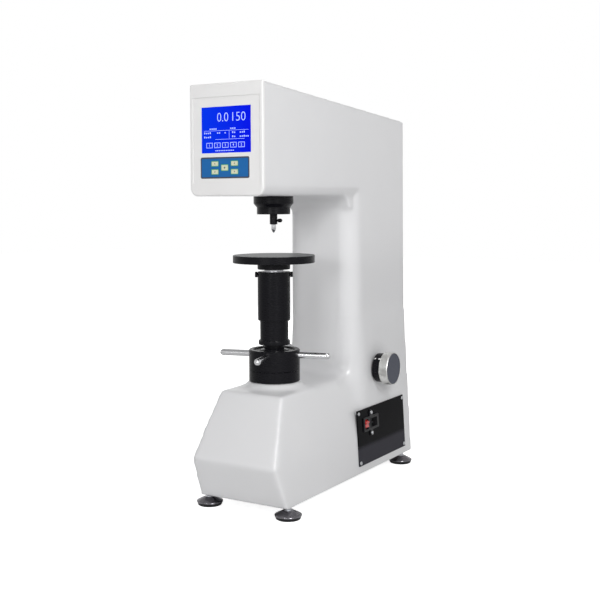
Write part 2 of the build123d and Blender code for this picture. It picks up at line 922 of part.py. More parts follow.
with BuildPart() as elevating_screw:
    with BuildSketch(level(lift_bottom)):
        Circle(lift_radius)
    extrude(amount=collar_bottom - lift_bottom)
    with BuildSketch(level(collar_bottom)):
        Circle(lift_collar_radius)
    extrude(amount=lift_collar_height)
    with BuildSketch(level(outer_sleeve_top)):
        Circle(lift_neck_radius)
    extrude(amount=lift_neck_height)
    # keyway in the front of the screw
    with BuildSketch(level(lift_bottom)):
        with Locations((0, -(lift_radius + keyway_floor) / 2 - keyway_floor / 2)):
            Rectangle(2 * (keyway_half_width + slide_gap / 2), lift_radius)
    extrude(amount=keyway_top - lift_bottom, mode=Mode.SUBTRACT)
    # socket of the anvil stem
    with BuildSketch(level(neck_top)):
        Circle(anvil_stem_radius)
    extrude(amount=-anvil_stem_length, mode=Mode.SUBTRACT)
    # threaded holes of the sleeve screws
    for side in (-1, 1):
        with BuildSketch(facing_sleeve_screw(side * lift_collar_radius)):
            with Locations((0, sleeve_screw_height)):
                Circle(screw_radius)
        extrude(amount=-side * sleeve_screw_depth, mode=Mode.SUBTRACT)
elevating_screw.part.label = "elevating_screw"
export_step(elevating_screw.part, "parts/elevating_screw.step")

with BuildPart() as guide_bush:
    with BuildSketch(level(tube_bottom)):
        Circle(guide_radius)
        Circle(lift_radius + running_fit, mode=Mode.SUBTRACT)
        with Locations((0, -(guide_radius + lift_radius) / 2 + key_inset)):
            Rectangle(2 * keyway_half_width, guide_radius - lift_radius, mode=Mode.SUBTRACT)
    extrude(amount=guide_height)
guide_bush.part.label = "guide_bush"
export_step(guide_bush.part, "parts/guide_bush.step")

key_back = guide_radius - key_inset
key_front = keyway_floor + slide_gap

with BuildPart() as guide_key:
    with BuildSketch(level(tube_bottom + (guide_height - guide_key_height) / 2)):
        with Locations((0, -(key_back + key_front) / 2)):
            Rectangle(2 * keyway_half_width, key_back - key_front)
    extrude(amount=guide_key_height)
guide_key.part.label = "guide_key"
export_step(guide_key.part, "parts/guide_key.step")

with BuildPart() as inner_sleeve:
    with BuildSketch(level(nut_top)):
        Circle(sleeve_flange_radius)
    extrude(amount=sleeve_flange_height)
    with BuildSketch(level(nut_top)):
        Circle(inner_sleeve_radius)
    extrude(amount=inner_sleeve_top - nut_top)
    with BuildSketch(level(nut_top)):
        Circle(lift_radius + slide_gap)
    extrude(amount=sleeve_floor, mode=Mode.SUBTRACT)
    with BuildSketch(level(nut_top + sleeve_floor)):
        Circle(inner_sleeve_bore)
    extrude(amount=inner_sleeve_top - nut_top, mode=Mode.SUBTRACT)
inner_sleeve.part.label = "inner_sleeve"
export_step(inner_sleeve.part, "parts/inner_sleeve.step")

with BuildPart() as outer_sleeve:
    with BuildSketch(level(outer_sleeve_bottom)):
        Circle(outer_sleeve_radius)
        Circle(lift_collar_radius, mode=Mode.SUBTRACT)
    extrude(amount=outer_sleeve_top - outer_sleeve_bottom)
    for side in (-1, 1):
        with BuildSketch(facing_sleeve_screw(side * outer_sleeve_radius)):
            with Locations((0, sleeve_screw_height)):
                Circle(screw_radius)
        extrude(amount=-side * (outer_sleeve_radius - inner_sleeve_bore), mode=Mode.SUBTRACT)
outer_sleeve.part.label = "outer_sleeve"
export_step(outer_sleeve.part, "parts/outer_sleeve.step")

with BuildPart() as sleeve_screws:
    for side in (-1, 1):
        with BuildSketch(facing_sleeve_screw(side * (lift_collar_radius - sleeve_screw_depth + slide_gap))):
            with Locations((0, sleeve_screw_height)):
                Circle(screw_radius)
        extrude(amount=side * (outer_sleeve_radius - lift_collar_radius + sleeve_screw_depth - slide_gap))
        with BuildSketch(facing_sleeve_screw(side * outer_sleeve_radius)):
            with Locations((0, sleeve_screw_height)):
                Circle(sleeve_screw_head_radius)
        extrude(amount=side * sleeve_screw_head_height)
sleeve_screws.part.label = "sleeve_screws"
export_step(sleeve_screws.part, "parts/sleeve_screws.step")

# ---- anvil -------------------------------------------------------------------------------------------

anvil_bottom = neck_top + anvil_hub_height

with BuildPart() as anvil_hub:
    with BuildSketch(level(neck_top)):
        Circle(anvil_hub_radius)
    extrude(amount=anvil_hub_height)
    with BuildSketch(level(anvil_bottom)):
        Circle(anvil_spigot_radius)
    extrude(amount=anvil_spigot_height)
    with BuildSketch(level(neck_top)):
        Circle(anvil_stem_radius)
    extrude(amount=slide_gap - anvil_stem_length)
anvil_hub.part.label = "anvil_hub"
export_step(anvil_hub.part, "parts/anvil_hub.step")

with BuildPart() as anvil_plate:
    with BuildSketch(level(anvil_bottom)):
        Circle(anvil_radius)
    extrude(amount=anvil_thickness)
    chamfer(anvil_plate.edges().group_by(Axis.Z)[-1], anvil_chamfer)
    with BuildSketch(level(anvil_bottom)):
        Circle(anvil_spigot_radius)
    extrude(amount=anvil_spigot_height, mode=Mode.SUBTRACT)
anvil_plate.part.label = "anvil_plate"
export_step(anvil_plate.part, "parts/anvil_plate.step")

# ---- spindle and indenter ----------------------------------------------------------------------------

spindle_tip = lever_bottom - seat_gap
bush_top = head_floor + spindle_boss_height
spring_bottom = bush_top + spring_wire
collar_low = bush_top + spring_length + seat_gap

with BuildPart() as spindle_cover:
    with BuildSketch(facing_front(0)):
        with BuildLine():
            Polyline(
                (nose_radius + 2 * slide_gap, cover_bottom),
                (cover_nose_radius, cover_bottom),
                (cover_nose_radius, cover_cone_bottom),
                (cover_radius, cover_step),
                (cover_radius, head_floor),
                (cover_bore, head_floor),
                (cover_bore, cover_bottom + cover_floor),
                (nose_radius + 2 * slide_gap, cover_bottom + cover_floor),
                close=True,
            )
        make_face()
    revolve(axis=screw_axis)
spindle_cover.part.label = "spindle_cover"
export_step(spindle_cover.part, "parts/spindle_cover.step")

with BuildPart() as spindle_bush:
    with BuildSketch(level(head_floor)):
        Circle(spindle_radius + bush_wall)
        Circle(spindle_radius + running_fit, mode=Mode.SUBTRACT)
    extrude(amount=spindle_boss_height)
spindle_bush.part.label = "spindle_bush"
export_step(spindle_bush.part, "parts/spindle_bush.step")

with BuildPart() as spindle:
    with BuildSketch(level(spindle_shoulder)):
        Circle(spindle_radius)
    extrude(amount=spindle_top - spindle_shoulder)
    with BuildSketch(level(spindle_top)):
        Circle(spindle_tip_radius)
    extrude(amount=spindle_tip - spindle_top)
    with BuildSketch(level(collar_low)):
        Circle(collar_radius)
    extrude(amount=collar_height)
    with BuildSketch(level(nose_bottom)):
        Circle(nose_radius)
    extrude(amount=spindle_shoulder - nose_bottom)
    with BuildSketch(level(nose_bottom)):
        Circle(indenter_shank_radius)
    extrude(amount=indenter_shank_length, mode=Mode.SUBTRACT)
    with BuildSketch(facing_right(0)):
        with Locations((0, clamp_height)):
            Circle(clamp_shank_radius + running_fit)
    extrude(amount=nose_radius, mode=Mode.SUBTRACT)
spindle.part.label = "spindle"
export_step(spindle.part, "parts/spindle.step")

spring_radius = spindle_radius + bush_wall / 2 + slide_gap
spring_height = spring_length - 2 * spring_wire

with BuildPart() as balance_spring:
    with BuildLine(level(spring_bottom)):
        coil = Helix(pitch=spring_height / spring_turns, height=spring_height, radius=spring_radius)
    with BuildSketch(Plane(origin=coil @ 0, z_dir=coil % 0)):
        Circle(spring_wire)
    sweep(path=coil, is_frenet=True)
balance_spring.part.label = "balance_spring"
export_step(balance_spring.part, "parts/balance_spring.step")

with BuildPart() as indenter:
    with BuildSketch(facing_front(0)):
        with BuildLine():
            Polyline(
                (0, indenter_bottom),
                (indenter_cone_radius, indenter_bottom),
                (indenter_radius, indenter_bottom + indenter_cone_length),
                (indenter_radius, nose_bottom),
                (indenter_shank_radius, nose_bottom),
                (indenter_shank_radius, nose_bottom + indenter_shank_length - slide_gap),
                (0, nose_bottom + indenter_shank_length - slide_gap),
                close=True,
            )
        make_face()
    revolve(axis=screw_axis)
indenter.part.label = "indenter"
export_step(indenter.part, "parts/indenter.step")

with BuildPart() as indenter_tip:
    with BuildSketch(facing_front(0)):
        with BuildLine():
            Polyline(
                (0, tip_bottom),
                (tip_point_radius, tip_bottom),
                (indenter_cone_radius, indenter_bottom),
                (0, indenter_bottom),
                close=True,
            )
        make_face()
    revolve(axis=screw_axis)
indenter_tip.part.label = "indenter_tip"
export_step(indenter_tip.part, "parts/indenter_tip.step")

with BuildPart() as indenter_screw:
    with BuildSketch(facing_right(indenter_shank_radius + slide_gap)):
        with Locations((0, clamp_height)):
            Circle(clamp_shank_radius)
    extrude(amount=clamp_head_start - indenter_shank_radius - slide_gap)
    with BuildSketch(facing_right(clamp_head_start)):
        with Locations((0, clamp_height)):
            Circle(clamp_head_radius)
    extrude(amount=clamp_reach - clamp_head_start)
indenter_screw.part.label = "indenter_screw"
export_step(indenter_screw.part, "parts/indenter_screw.step")

# ---- loading lever, hanger and weights ---------------------------------------------------------------

inner_floor = head_floor + wall
bracket_outer = bracket_inner + bracket_thickness
bracket_top = pivot_height + bracket_crown

with BuildPart() as load_lever:
    with BuildSketch(facing_right(0)):
        with Locations(((pivot_y + lever_end) / 2, (lever_bottom + lever_top) / 2)):
            Rectangle(lever_end - pivot_y, lever_top - lever_bottom)
    extrude(amount=lever_half_width, both=True)
    with BuildSketch(facing_right(0)):
        with Locations((pivot_y, pivot_height)):
            Circle(lever_hub_radius)
    extrude(amount=bracket_inner - slide_gap, both=True)
    with BuildSketch(facing_right(0)):
        with Locations((pivot_y, pivot_height)):
            Circle(pivot_pin_radius + running_fit)
    extrude(amount=bracket_inner, both=True, mode=Mode.SUBTRACT)
load_lever.part.label = "load_lever"
export_step(load_lever.part, "parts/load_lever.step")

with BuildPart() as lever_bracket:
    for side in (-1, 1):
        with BuildSketch(facing_right(side * bracket_inner)):
            with Locations((pivot_y, (inner_floor + bracket_top) / 2)):
                Rectangle(bracket_depth, bracket_top - inner_floor)
            with Locations((pivot_y, pivot_height)):
                Circle(pivot_pin_radius, mode=Mode.SUBTRACT)
        extrude(amount=side * bracket_thickness)
lever_bracket.part.label = "lever_bracket"
export_step(lever_bracket.part, "parts/lever_bracket.step")

with BuildPart() as lever_pin:
    with BuildSketch(facing_right(0)):
        with Locations((pivot_y, pivot_height)):
            Circle(pivot_pin_radius)
    extrude(amount=bracket_outer, both=True)
lever_pin.part.label = "lever_pin"
export_step(lever_pin.part, "parts/lever_pin.step")

bar_height = lever_top + seat_gap + hanger_bar_radius
side_inner = lever_half_width + 2 * slide_gap
side_outer = side_inner + hanger_side
tray_bottom = weight_bottom - weight_tray_height

with BuildPart() as weight_hanger:
    # round bar that hangs over the end of the lever
    with BuildSketch(facing_right(0)):
        with Locations((hanger_y, bar_height)):
            Circle(hanger_bar_radius)
    extrude(amount=side_outer, both=True)
    # two sides and the bar under the lever
    with BuildSketch(level(hanger_drop)):
        with Locations((0, hanger_y)):
            Rectangle(2 * side_outer, 2 * hanger_bar_radius)
            Rectangle(2 * side_inner, 2 * hanger_bar_radius, mode=Mode.SUBTRACT)
    extrude(amount=bar_height - hanger_drop)
    with BuildSketch(level(hanger_drop)):
        with Locations((0, hanger_y)):
            Rectangle(2 * side_outer, 2 * hanger_bar_radius)
    extrude(amount=-hanger_foot_bar)
    # rod and the tray that carries the weights
    with BuildSketch(level(tray_bottom)):
        with Locations((0, hanger_y)):
            Circle(rod_radius)
    extrude(amount=hanger_drop - tray_bottom)
    with BuildSketch(level(tray_bottom)):
        with Locations((0, hanger_y)):
            Circle(weight_tray_radius)
    extrude(amount=weight_tray_height)
weight_hanger.part.label = "weight_hanger"
export_step(weight_hanger.part, "parts/weight_hanger.step")

weight_names = ["weight_lower", "weight_middle", "weight_upper"]
weight_floor = weight_bottom
for weight_name, weight_height in zip(weight_names, weight_heights):
    with BuildPart() as weight:
        with BuildSketch(level(weight_floor)):
            with Locations((0, hanger_y)):
                Circle(weight_radius)
                Circle(rod_radius, mode=Mode.SUBTRACT)
        extrude(amount=weight_height)
    weight.part.label = weight_name
    export_step(weight.part, f"parts/{weight_name}.step")
    weight_floor = weight_floor + weight_height

# ---- loading motor and cam ---------------------------------------------------------------------------

cam_height = lever_bottom - seat_gap - cam_high
motor_face = half_width_at(skirt_top) - wall - motor_length

with BuildPart() as loading_cam:
    with BuildSketch(facing_right(0)):
        with Locations((cam_y, cam_height + cam_eccentricity)):
            Circle(cam_high - cam_eccentricity)
    extrude(amount=cam_half_width, both=True)
    with BuildSketch(facing_right(0)):
        with Locations((cam_y, cam_height)):
            Circle(cam_shaft_radius)
    extrude(amount=-motor_face - cam_shaft_depth)
loading_cam.part.label = "loading_cam"
export_step(loading_cam.part, "parts/loading_cam.step")

with BuildPart() as loading_motor:
    with BuildSketch(facing_right(-motor_face)):
        with Locations((cam_y, cam_height)):
            Circle(motor_radius)
    extrude(amount=-motor_length)
    with BuildSketch(facing_right(-motor_face)):
        with Locations((cam_y, cam_height)):
            Circle(cam_shaft_radius + running_fit)
    extrude(amount=-cam_shaft_depth - seat_gap, mode=Mode.SUBTRACT)
loading_motor.part.label = "loading_motor"
export_step(loading_motor.part, "parts/loading_motor.step")

# ---- sensor, board and power supply ------------------------------------------------------------------

with BuildPart() as displacement_sensor:
    with BuildSketch(level(sensor_bottom)):
        with Locations((-(sensor_reach + spindle_radius + slide_gap) / 2, 0)):
            Rectangle(sensor_reach - spindle_radius - slide_gap, 2 * sensor_half_depth)
    extrude(amount=sensor_height)
    with BuildSketch(level(inner_floor)):
        with Locations((-sensor_reach + sensor_leg / 2, 0)):
            Rectangle(sensor_leg, 2 * sensor_half_depth)
    extrude(amount=sensor_bottom - inner_floor)
displacement_sensor.part.label = "displacement_sensor"
export_step(displacement_sensor.part, "parts/displacement_sensor.step")

board_face = -(body_half_width - wall - standoff_length)

with BuildPart() as control_board:
    with BuildSketch(facing_right(board_face)):
        with Locations((board_centre_y, board_centre_z)):
            Rectangle(board_depth, board_height)
    extrude(amount=board_thickness)
    with BuildSketch(facing_right(board_face)):
        with Locations((board_centre_y, board_centre_z)):
            with GridLocations(board_depth - 2 * standoff_inset, board_height - 2 * standoff_inset, 2, 2):
                Circle(standoff_radius)
    extrude(amount=-standoff_length)
    with BuildSketch(facing_right(board_face + board_thickness)):
        with Locations((board_centre_y, board_centre_z)):
            with GridLocations(2 * chip_size, 2 * chip_size, 2, 3):
                Rectangle(chip_size, chip_size)
    extrude(amount=chip_height)
control_board.part.label = "control_board"
export_step(control_board.part, "parts/control_board.step")

with BuildPart() as power_supply:
    with BuildSketch(level(base_bottom + cover_thickness)):
        with Locations((0, supply_front + supply_depth / 2)):
            Rectangle(2 * supply_half_width, supply_depth)
    extrude(amount=supply_height)
power_supply.part.label = "power_supply"
export_step(power_supply.part, "parts/power_supply.step")

# ---- side panel, power inlet and rocker --------------------------------------------------------------

rocker_middle = (inlet_y + rocker_offset, inlet_middle[1])
socket_middle = (inlet_y + socket_offset, inlet_middle[1])
panel_front = side_plane.offset(panel_plate)
inlet_front = side_plane.offset(panel_plate + inlet_flange)
body_width = inlet_width - 2 * inlet_body_margin
body_height = inlet_height - 2 * inlet_body_margin

with BuildPart() as side_panel:
    with BuildSketch(side_plane):
        with Locations(side_panel_middle):
            Rectangle(side_panel_width, side_panel_height)
        with Locations(inlet_middle):
            Rectangle(body_width, body_height, mode=Mode.SUBTRACT)
        with Locations(*side_screws, *ear_places):
            Circle(screw_radius, mode=Mode.SUBTRACT)
    extrude(amount=panel_plate)
side_panel.part.label = "side_panel"
export_step(side_panel.part, "parts/side_panel.step")

with BuildPart() as power_inlet:
    with BuildSketch(panel_front):
        with Locations(inlet_middle):
            Rectangle(inlet_width, inlet_height)
        with Locations(*ear_places):
            Circle(ear_radius)
        with Locations(inlet_middle):
            Rectangle(2 * ear_radius, ear_pitch)
        with Locations(*ear_places):
            Circle(screw_radius, mode=Mode.SUBTRACT)
    extrude(amount=inlet_flange)
    with BuildSketch(panel_front):
        with Locations(inlet_middle):
            Rectangle(body_width, body_height)
    extrude(amount=-inlet_body_depth)
    # pocket of the rocker and mouth of the socket
    with BuildSketch(inlet_front):
        with Locations(rocker_middle):
            Rectangle(rocker_width + 2 * slide_gap, 2 * rocker_radius + 2 * slide_gap)
    extrude(amount=-rocker_pocket, mode=Mode.SUBTRACT)
    with BuildSketch(inlet_front):
        with Locations(socket_middle):
            Rectangle(socket_width, socket_height)
    extrude(amount=-socket_depth, mode=Mode.SUBTRACT)
    # three contact blades
    with BuildSketch(inlet_front.offset(-socket_depth)):
        with Locations(
            (socket_middle[0] - blade_spread, socket_middle[1] - blade_rise),
            (socket_middle[0] + blade_spread, socket_middle[1] - blade_rise),
            (socket_middle[0], socket_middle[1] + blade_rise),
        ):
            Rectangle(blade_width, blade_height)
    extrude(amount=blade_length)
power_inlet.part.label = "power_inlet"
export_step(power_inlet.part, "parts/power_inlet.step")

with BuildPart() as panel_screws:
    with BuildSketch(panel_front):
        with Locations(*side_screws):
            Circle(panel_screw_radius)
    extrude(amount=panel_screw_height)
    with BuildSketch(panel_front):
        with Locations(*side_screws):
            Circle(screw_radius)
    extrude(amount=-panel_screw_length)
    with BuildSketch(inlet_front):
        with Locations(*ear_places):
            Circle(panel_screw_radius)
    extrude(amount=panel_screw_height)
    with BuildSketch(inlet_front):
        with Locations(*ear_places):
            Circle(screw_radius)
    extrude(amount=-screw_length)
panel_screws.part.label = "panel_screws"
export_step(panel_screws.part, "parts/panel_screws.step")

# the rocker turns about a level line across its middle, and rests pressed in at its lower end
tilt = radians(rocker_tilt)
rocker_plane = Plane(
    origin=inlet_front.offset(-rocker_pivot_depth).from_local_coords((*rocker_middle, 0)),
    x_dir=side_plane.y_dir * cos(tilt) + side_plane.z_dir * sin(tilt),
    z_dir=side_plane.x_dir,
)

with BuildPart() as power_rocker:
    # seen along its pivot; all of it lies inside a circle about the pivot, so it rocks in its pocket
    with BuildSketch(rocker_plane):
        with BuildLine():
            Polyline(
                (-rocker_radius, -rocker_foot),
                (rocker_radius, -rocker_foot),
                (rocker_radius, rocker_crest),
                (0, rocker_valley),
                (-rocker_radius, rocker_crest),
                close=True,
            )
        make_face()
        Circle(rocker_radius, mode=Mode.INTERSECT)
    extrude(amount=rocker_width / 2, both=True)
power_rocker.part.label = "power_rocker"
export_step(power_rocker.part, "parts/power_rocker.step")

# ---- force knob and selector -------------------------------------------------------------------------

with BuildPart() as knob_hub:
    with BuildSketch(facing_right(knob_hub_start)):
        with Locations((knob_y, knob_height)):
            Circle(knob_hub_radius)
            Circle(selector_radius, mode=Mode.SUBTRACT)
    extrude(amount=knob_step - knob_hub_start)
knob_hub.part.label = "knob_hub"
export_step(knob_hub.part, "parts/knob_hub.step")

with BuildPart() as knob_ring:
    with BuildSketch(facing_right(knob_step)):
        with Locations((knob_y, knob_height)):
            Circle(knob_ring_radius)
            Circle(knob_cap_radius, mode=Mode.SUBTRACT)
    extrude(amount=knob_face - knob_step)
knob_ring.part.label = "knob_ring"
export_step(knob_ring.part, "parts/knob_ring.step")

with BuildPart() as knob_cap:
    with BuildSketch(facing_right(knob_step)):
        with Locations((knob_y, knob_height)):
            Circle(knob_cap_radius)
    extrude(amount=knob_face - knob_cap_sink - knob_step)
knob_cap.part.label = "knob_cap"
export_step(knob_cap.part, "parts/knob_cap.step")

with BuildPart() as selector_shaft:
    with BuildSketch(facing_right(selector_inner)):
        with Locations((knob_y, knob_height)):
            Circle(selector_radius)
    extrude(amount=knob_step - selector_inner)
selector_shaft.part.label = "selector_shaft"
export_step(selector_shaft.part, "parts/selector_shaft.step")

with BuildPart() as selector_bush:
    with BuildSketch(facing_right(selector_bush_inner)):
        with Locations((knob_y, knob_height)):
            Circle(selector_bush_radius)
            Circle(selector_radius + running_fit, mode=Mode.SUBTRACT)
    extrude(amount=knob_hub_start - slide_gap - selector_bush_inner)
selector_bush.part.label = "selector_bush"
export_step(selector_bush.part, "parts/selector_bush.step")

with BuildPart() as selector_cam:
    with BuildSketch(facing_right(selector_cam_start)):
        with Locations((knob_y, knob_height)):
            RegularPolygon(selector_cam_radius, 3)
            Circle(selector_radius, mode=Mode.SUBTRACT)
    extrude(amount=selector_cam_width)
    fillet(selector_cam.edges().filter_by(Axis.X), selector_cam_corner)
selector_cam.part.label = "selector_cam"
export_step(selector_cam.part, "parts/selector_cam.step")

# ---- feet --------------------------------------------------------------------------------------------

foot_names = {
    "foot_front_left": (-foot_x, front_foot_y),
    "foot_front_right": (foot_x, front_foot_y),
    "foot_rear_left": (-foot_x, rear_foot_y),
    "foot_rear_right": (foot_x, rear_foot_y),
}
stud_foot = foot_cone_top - foot_widest
stud_top = base_bottom + stud_length - seat_gap

for foot_name, (x, y) in foot_names.items():
    with BuildPart() as foot:
        # disc with the socket of its stud
        with BuildSketch(facing_front(y)):
            with BuildLine():
                Polyline(
                    (x, 0),
                    (x + foot_sole_radius, 0),
                    (x + foot_radius, foot_widest),
                    (x + foot_neck_radius, foot_cone_top),
                    (x + stud_radius + running_fit, foot_cone_top),
                    (x + stud_radius + running_fit, stud_foot),
                    (x, stud_foot),
                    close=True,
                )
            make_face()
        revolve(axis=Axis((screw_x + x, screw_y + y, 0), (0, 0, 1)))
        # threaded stud
        with BuildSketch(level(stud_foot + running_fit)):
            with Locations((x, y)):
                Circle(stud_radius)
        extrude(amount=stud_top - stud_foot - running_fit)
    foot.part.label = foot_name
    export_step(foot.part, f"parts/{foot_name}.step")
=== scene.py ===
# %% [markdown]
# A bench hardness tester of the Rockwell kind. The press is already packed as CAD solids. This lesson dresses
# it: the camera and the light come first, then the finishes, and then each piece that the eye can reach.
# Everything is in metres, and every piece stands where its solid stands.

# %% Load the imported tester
from math import atan2, cos, pi, radians, sin

import bmesh
import bpy
from mathutils import Matrix, Vector


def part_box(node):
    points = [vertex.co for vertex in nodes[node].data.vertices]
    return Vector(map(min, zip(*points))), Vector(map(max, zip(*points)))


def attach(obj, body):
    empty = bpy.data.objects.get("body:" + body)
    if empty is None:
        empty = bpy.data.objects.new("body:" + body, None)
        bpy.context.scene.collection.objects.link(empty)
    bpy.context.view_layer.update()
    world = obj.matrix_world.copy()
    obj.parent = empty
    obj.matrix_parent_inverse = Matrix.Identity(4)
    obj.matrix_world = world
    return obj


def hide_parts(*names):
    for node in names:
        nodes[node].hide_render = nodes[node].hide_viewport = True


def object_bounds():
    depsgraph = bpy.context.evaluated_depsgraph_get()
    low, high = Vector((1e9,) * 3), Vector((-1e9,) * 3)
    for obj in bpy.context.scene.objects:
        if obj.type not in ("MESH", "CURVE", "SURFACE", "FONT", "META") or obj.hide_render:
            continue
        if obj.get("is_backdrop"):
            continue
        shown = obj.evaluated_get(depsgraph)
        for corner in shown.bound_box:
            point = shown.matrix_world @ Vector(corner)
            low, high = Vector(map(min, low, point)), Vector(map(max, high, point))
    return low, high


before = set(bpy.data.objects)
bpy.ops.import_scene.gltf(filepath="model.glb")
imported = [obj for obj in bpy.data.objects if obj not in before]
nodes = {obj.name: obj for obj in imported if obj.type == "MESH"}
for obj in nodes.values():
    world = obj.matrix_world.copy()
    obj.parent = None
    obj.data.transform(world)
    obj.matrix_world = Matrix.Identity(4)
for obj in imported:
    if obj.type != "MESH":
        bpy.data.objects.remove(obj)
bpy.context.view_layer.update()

# %% [markdown]
# All measures on this tester are taken from the axis of its elevating screw, in millimetres, so one small
# function turns such a measure into a place in the scene.

# %% Measure from the screw axis
MM = 0.001
screw_low, screw_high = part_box("elevating_screw")
screw = Vector(((screw_low.x + screw_high.x) / 2, (screw_low.y + screw_high.y) / 2, 0))


def at(x, y, z):
    """Place in the scene of a point measured in millimetres from the screw axis and the bench."""
    return screw + Vector((x, y, z)) * MM


def from_screw(place):
    """A place in the scene as millimetres from the screw axis and the bench."""
    return (place - screw) / MM


def span(node):
    """The lowest and the highest corner of a solid, in millimetres from the screw axis."""
    return [from_screw(corner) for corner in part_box(node)]


print("screw axis at", round(screw.x, 5), round(screw.y, 5))

# %% [markdown]
# The camera stands a little below the middle of the head, to the right of the front, about two metres away.
# Its line of sight is almost level, and a small shift frames the tester without tilting its uprights.

# %% Camera
EYE_PLACE = at(1015.66, -1607.13, 552.07)
eye = bpy.data.cameras.new("eye")
eye.lens = 62.42
eye.sensor_width = 36
eye.shift_x = 0.0416
eye.shift_y = -0.1217
eye_right = Vector((0.84614, 0.53292, -0.00628))
eye_up = Vector((-0.00926, 0.02649, 0.99961))
eye_back = Vector((0.53288, -0.84575, 0.02735))
camera = bpy.data.objects.new("eye", eye)
bpy.context.scene.collection.objects.link(camera)
turn = Matrix((eye_right, eye_up, eye_back)).transposed().to_4x4()
camera.matrix_world = Matrix.Translation(EYE_PLACE) @ turn
bpy.context.scene.camera = camera
bpy.context.scene.view_settings.view_transform = "Standard"
print("camera at", tuple(round(v, 3) for v in camera.location))

# %% [markdown]
# A small studio. A large soft lamp stands high on the right. A smaller one low in front throws the soft
# shadow of the sleeves on the column, a faint one hangs overhead, and one behind lights the far sides without
# being seen in polished metal. The sky is made last, with the floor.

# %% Lamps


def soft_lamp(name, place, target, width, height, power):
    """A soft box that looks from one place at another."""
    lamp = bpy.data.lights.new(name, "AREA")
    lamp.shape = "RECTANGLE"
    lamp.size = width
    lamp.size_y = height
    lamp.energy = power
    holder = bpy.data.objects.new(name, lamp)
    bpy.context.scene.collection.objects.link(holder)
    holder.location = place
    holder.rotation_euler = (target - place).to_track_quat("-Z", "Y").to_euler()
    return holder


middle = Vector((0, 0, 0.4))
soft_lamp("lamp_right", Vector((1.8, -1.5, 1.5)), middle, 0.6, 1.6, 34)
soft_lamp("lamp_front", Vector((0.3, -2.4, 0.85)), middle, 0.6, 0.5, 8)
soft_lamp("lamp_above", Vector((0.3, -0.7, 2.6)), middle, 1.0, 0.8, 7)
fill = soft_lamp("lamp_behind", Vector((-1.9, 1.9, 1.6)), middle, 1.4, 1.4, 36)
fill.visible_glossy = False
print("lamps:", len(bpy.data.lights))

# %% [markdown]
# A finish is a material under construction. Its arithmetic is written as ordinary sums: a Number wraps one
# socket, and plus, minus and times add the Math nodes. Any other node comes from one method.

# %% Sums on sockets


class Number:
    """A value in a material that can stand in a sum."""

    def __init__(self, finish, socket):
        self.finish = finish
        self.socket = socket

    def _sum(self, operation, first, second):
        return self.finish.node("ShaderNodeMath", {"operation": operation}, {0: first, 1: second})

    def __add__(self, other):
        return self._sum("ADD", self, other)

    def __sub__(self, other):
        return self._sum("SUBTRACT", self, other)

    def __rsub__(self, other):
        return self._sum("SUBTRACT", other, self)

    def __mul__(self, other):
        return self._sum("MULTIPLY", self, other)

    __radd__ = __add__
    __rmul__ = __mul__

    def larger(self, other):
        return self._sum("MAXIMUM", self, other)

    def size(self):
        return self._sum("ABSOLUTE", self, 0)


class Graph:
    """The nodes of a material or a sky."""

    def __init__(self, tree):
        self.tree = tree

    def node(self, kind, settings=None, values=None, out=0):
        """Adds a node, its settings first, then the values or links of its sockets."""
        made = self.tree.nodes.new(kind)
        for key, value in (settings or {}).items():
            if key == "stops":
                for element, (place, colour) in zip(made.color_ramp.elements, value):
                    element.position = place
                    element.color = colour
            else:
                setattr(made, key, value)
        for socket, value in (values or {}).items():
            if isinstance(value, Number):
                self.tree.links.new(value.socket, made.inputs[socket])
            else:
                made.inputs[socket].default_value = value
        return Number(self, made.outputs[out])


class Finish(Graph):
    """A procedural material: constants go straight on the shader, what varies comes from nodes."""

    def __init__(self, name, **constants):
        self.material = bpy.data.materials.new(name)
        self.material.use_nodes = True
        super().__init__(self.material.node_tree)
        self.shader = self.tree.nodes["Principled BSDF"]
        for socket, value in constants.items():
            self.shader.inputs[socket.replace("_", " ")].default_value = value

    def place(self, stretch=(1, 1, 1), turn=(0, 0, 0)):
        """Object coordinates, stretched and turned for a pattern."""
        spot = self.node("ShaderNodeTexCoord", out="Object")
        return self.node("ShaderNodeMapping", None, {"Vector": spot, "Scale": stretch, "Rotation": turn})

    def noise(self, scale, detail=2.0, stretch=(1, 1, 1), turn=(0, 0, 0)):
        """Soft noise between 0 and 1."""
        where = self.place(stretch, turn)
        return self.node("ShaderNodeTexNoise", None, {"Vector": where, "Scale": scale, "Detail": detail})

    def colour(self, factor, first, second):
        """A colour between two, by a factor."""
        settings = {"data_type": "RGBA"}
        return self.node("ShaderNodeMix", settings, {0: factor, 6: (*first, 1), 7: (*second, 1)}, out=2)

    def bump(self, height, strength, depth):
        """Fine relief from a height."""
        values = {"Height": height, "Strength": strength, "Distance": depth}
        self.set("Normal", self.node("ShaderNodeBump", None, values))

    def set(self, socket, value):
        self.tree.links.new(value.socket, self.shader.inputs[socket])

    def glow(self, colour):
        """One colour for the surface and for its own light."""
        self.set("Base Color", colour)
        self.set("Emission Color", colour)


# %% [markdown]
# Two recipes serve nearly everything: sprayed paint or plastic, and machined metal. Each takes a pale and a
# deep colour, a roughness, the fineness of its grain and the strength of its relief. The side panel has its
# own recipe, a gloss black with a painted reflection of the floor: a paler band along its lower edge.

# %% Finishes
def painted(name, pale, deep, rough, grain=420.0, relief=0.12, **constants):
    """Sprayed paint: an even colour with a breath of unevenness and orange peel."""
    finish = Finish(name, **constants)
    cloud = finish.noise(7.0)
    finish.set("Base Color", finish.colour(cloud, deep, pale))
    finish.set("Roughness", finish.noise(30.0) * 0.08 + (rough - 0.04))
    finish.bump(finish.noise(grain, 1.0), relief, 0.0002)
    return finish.material


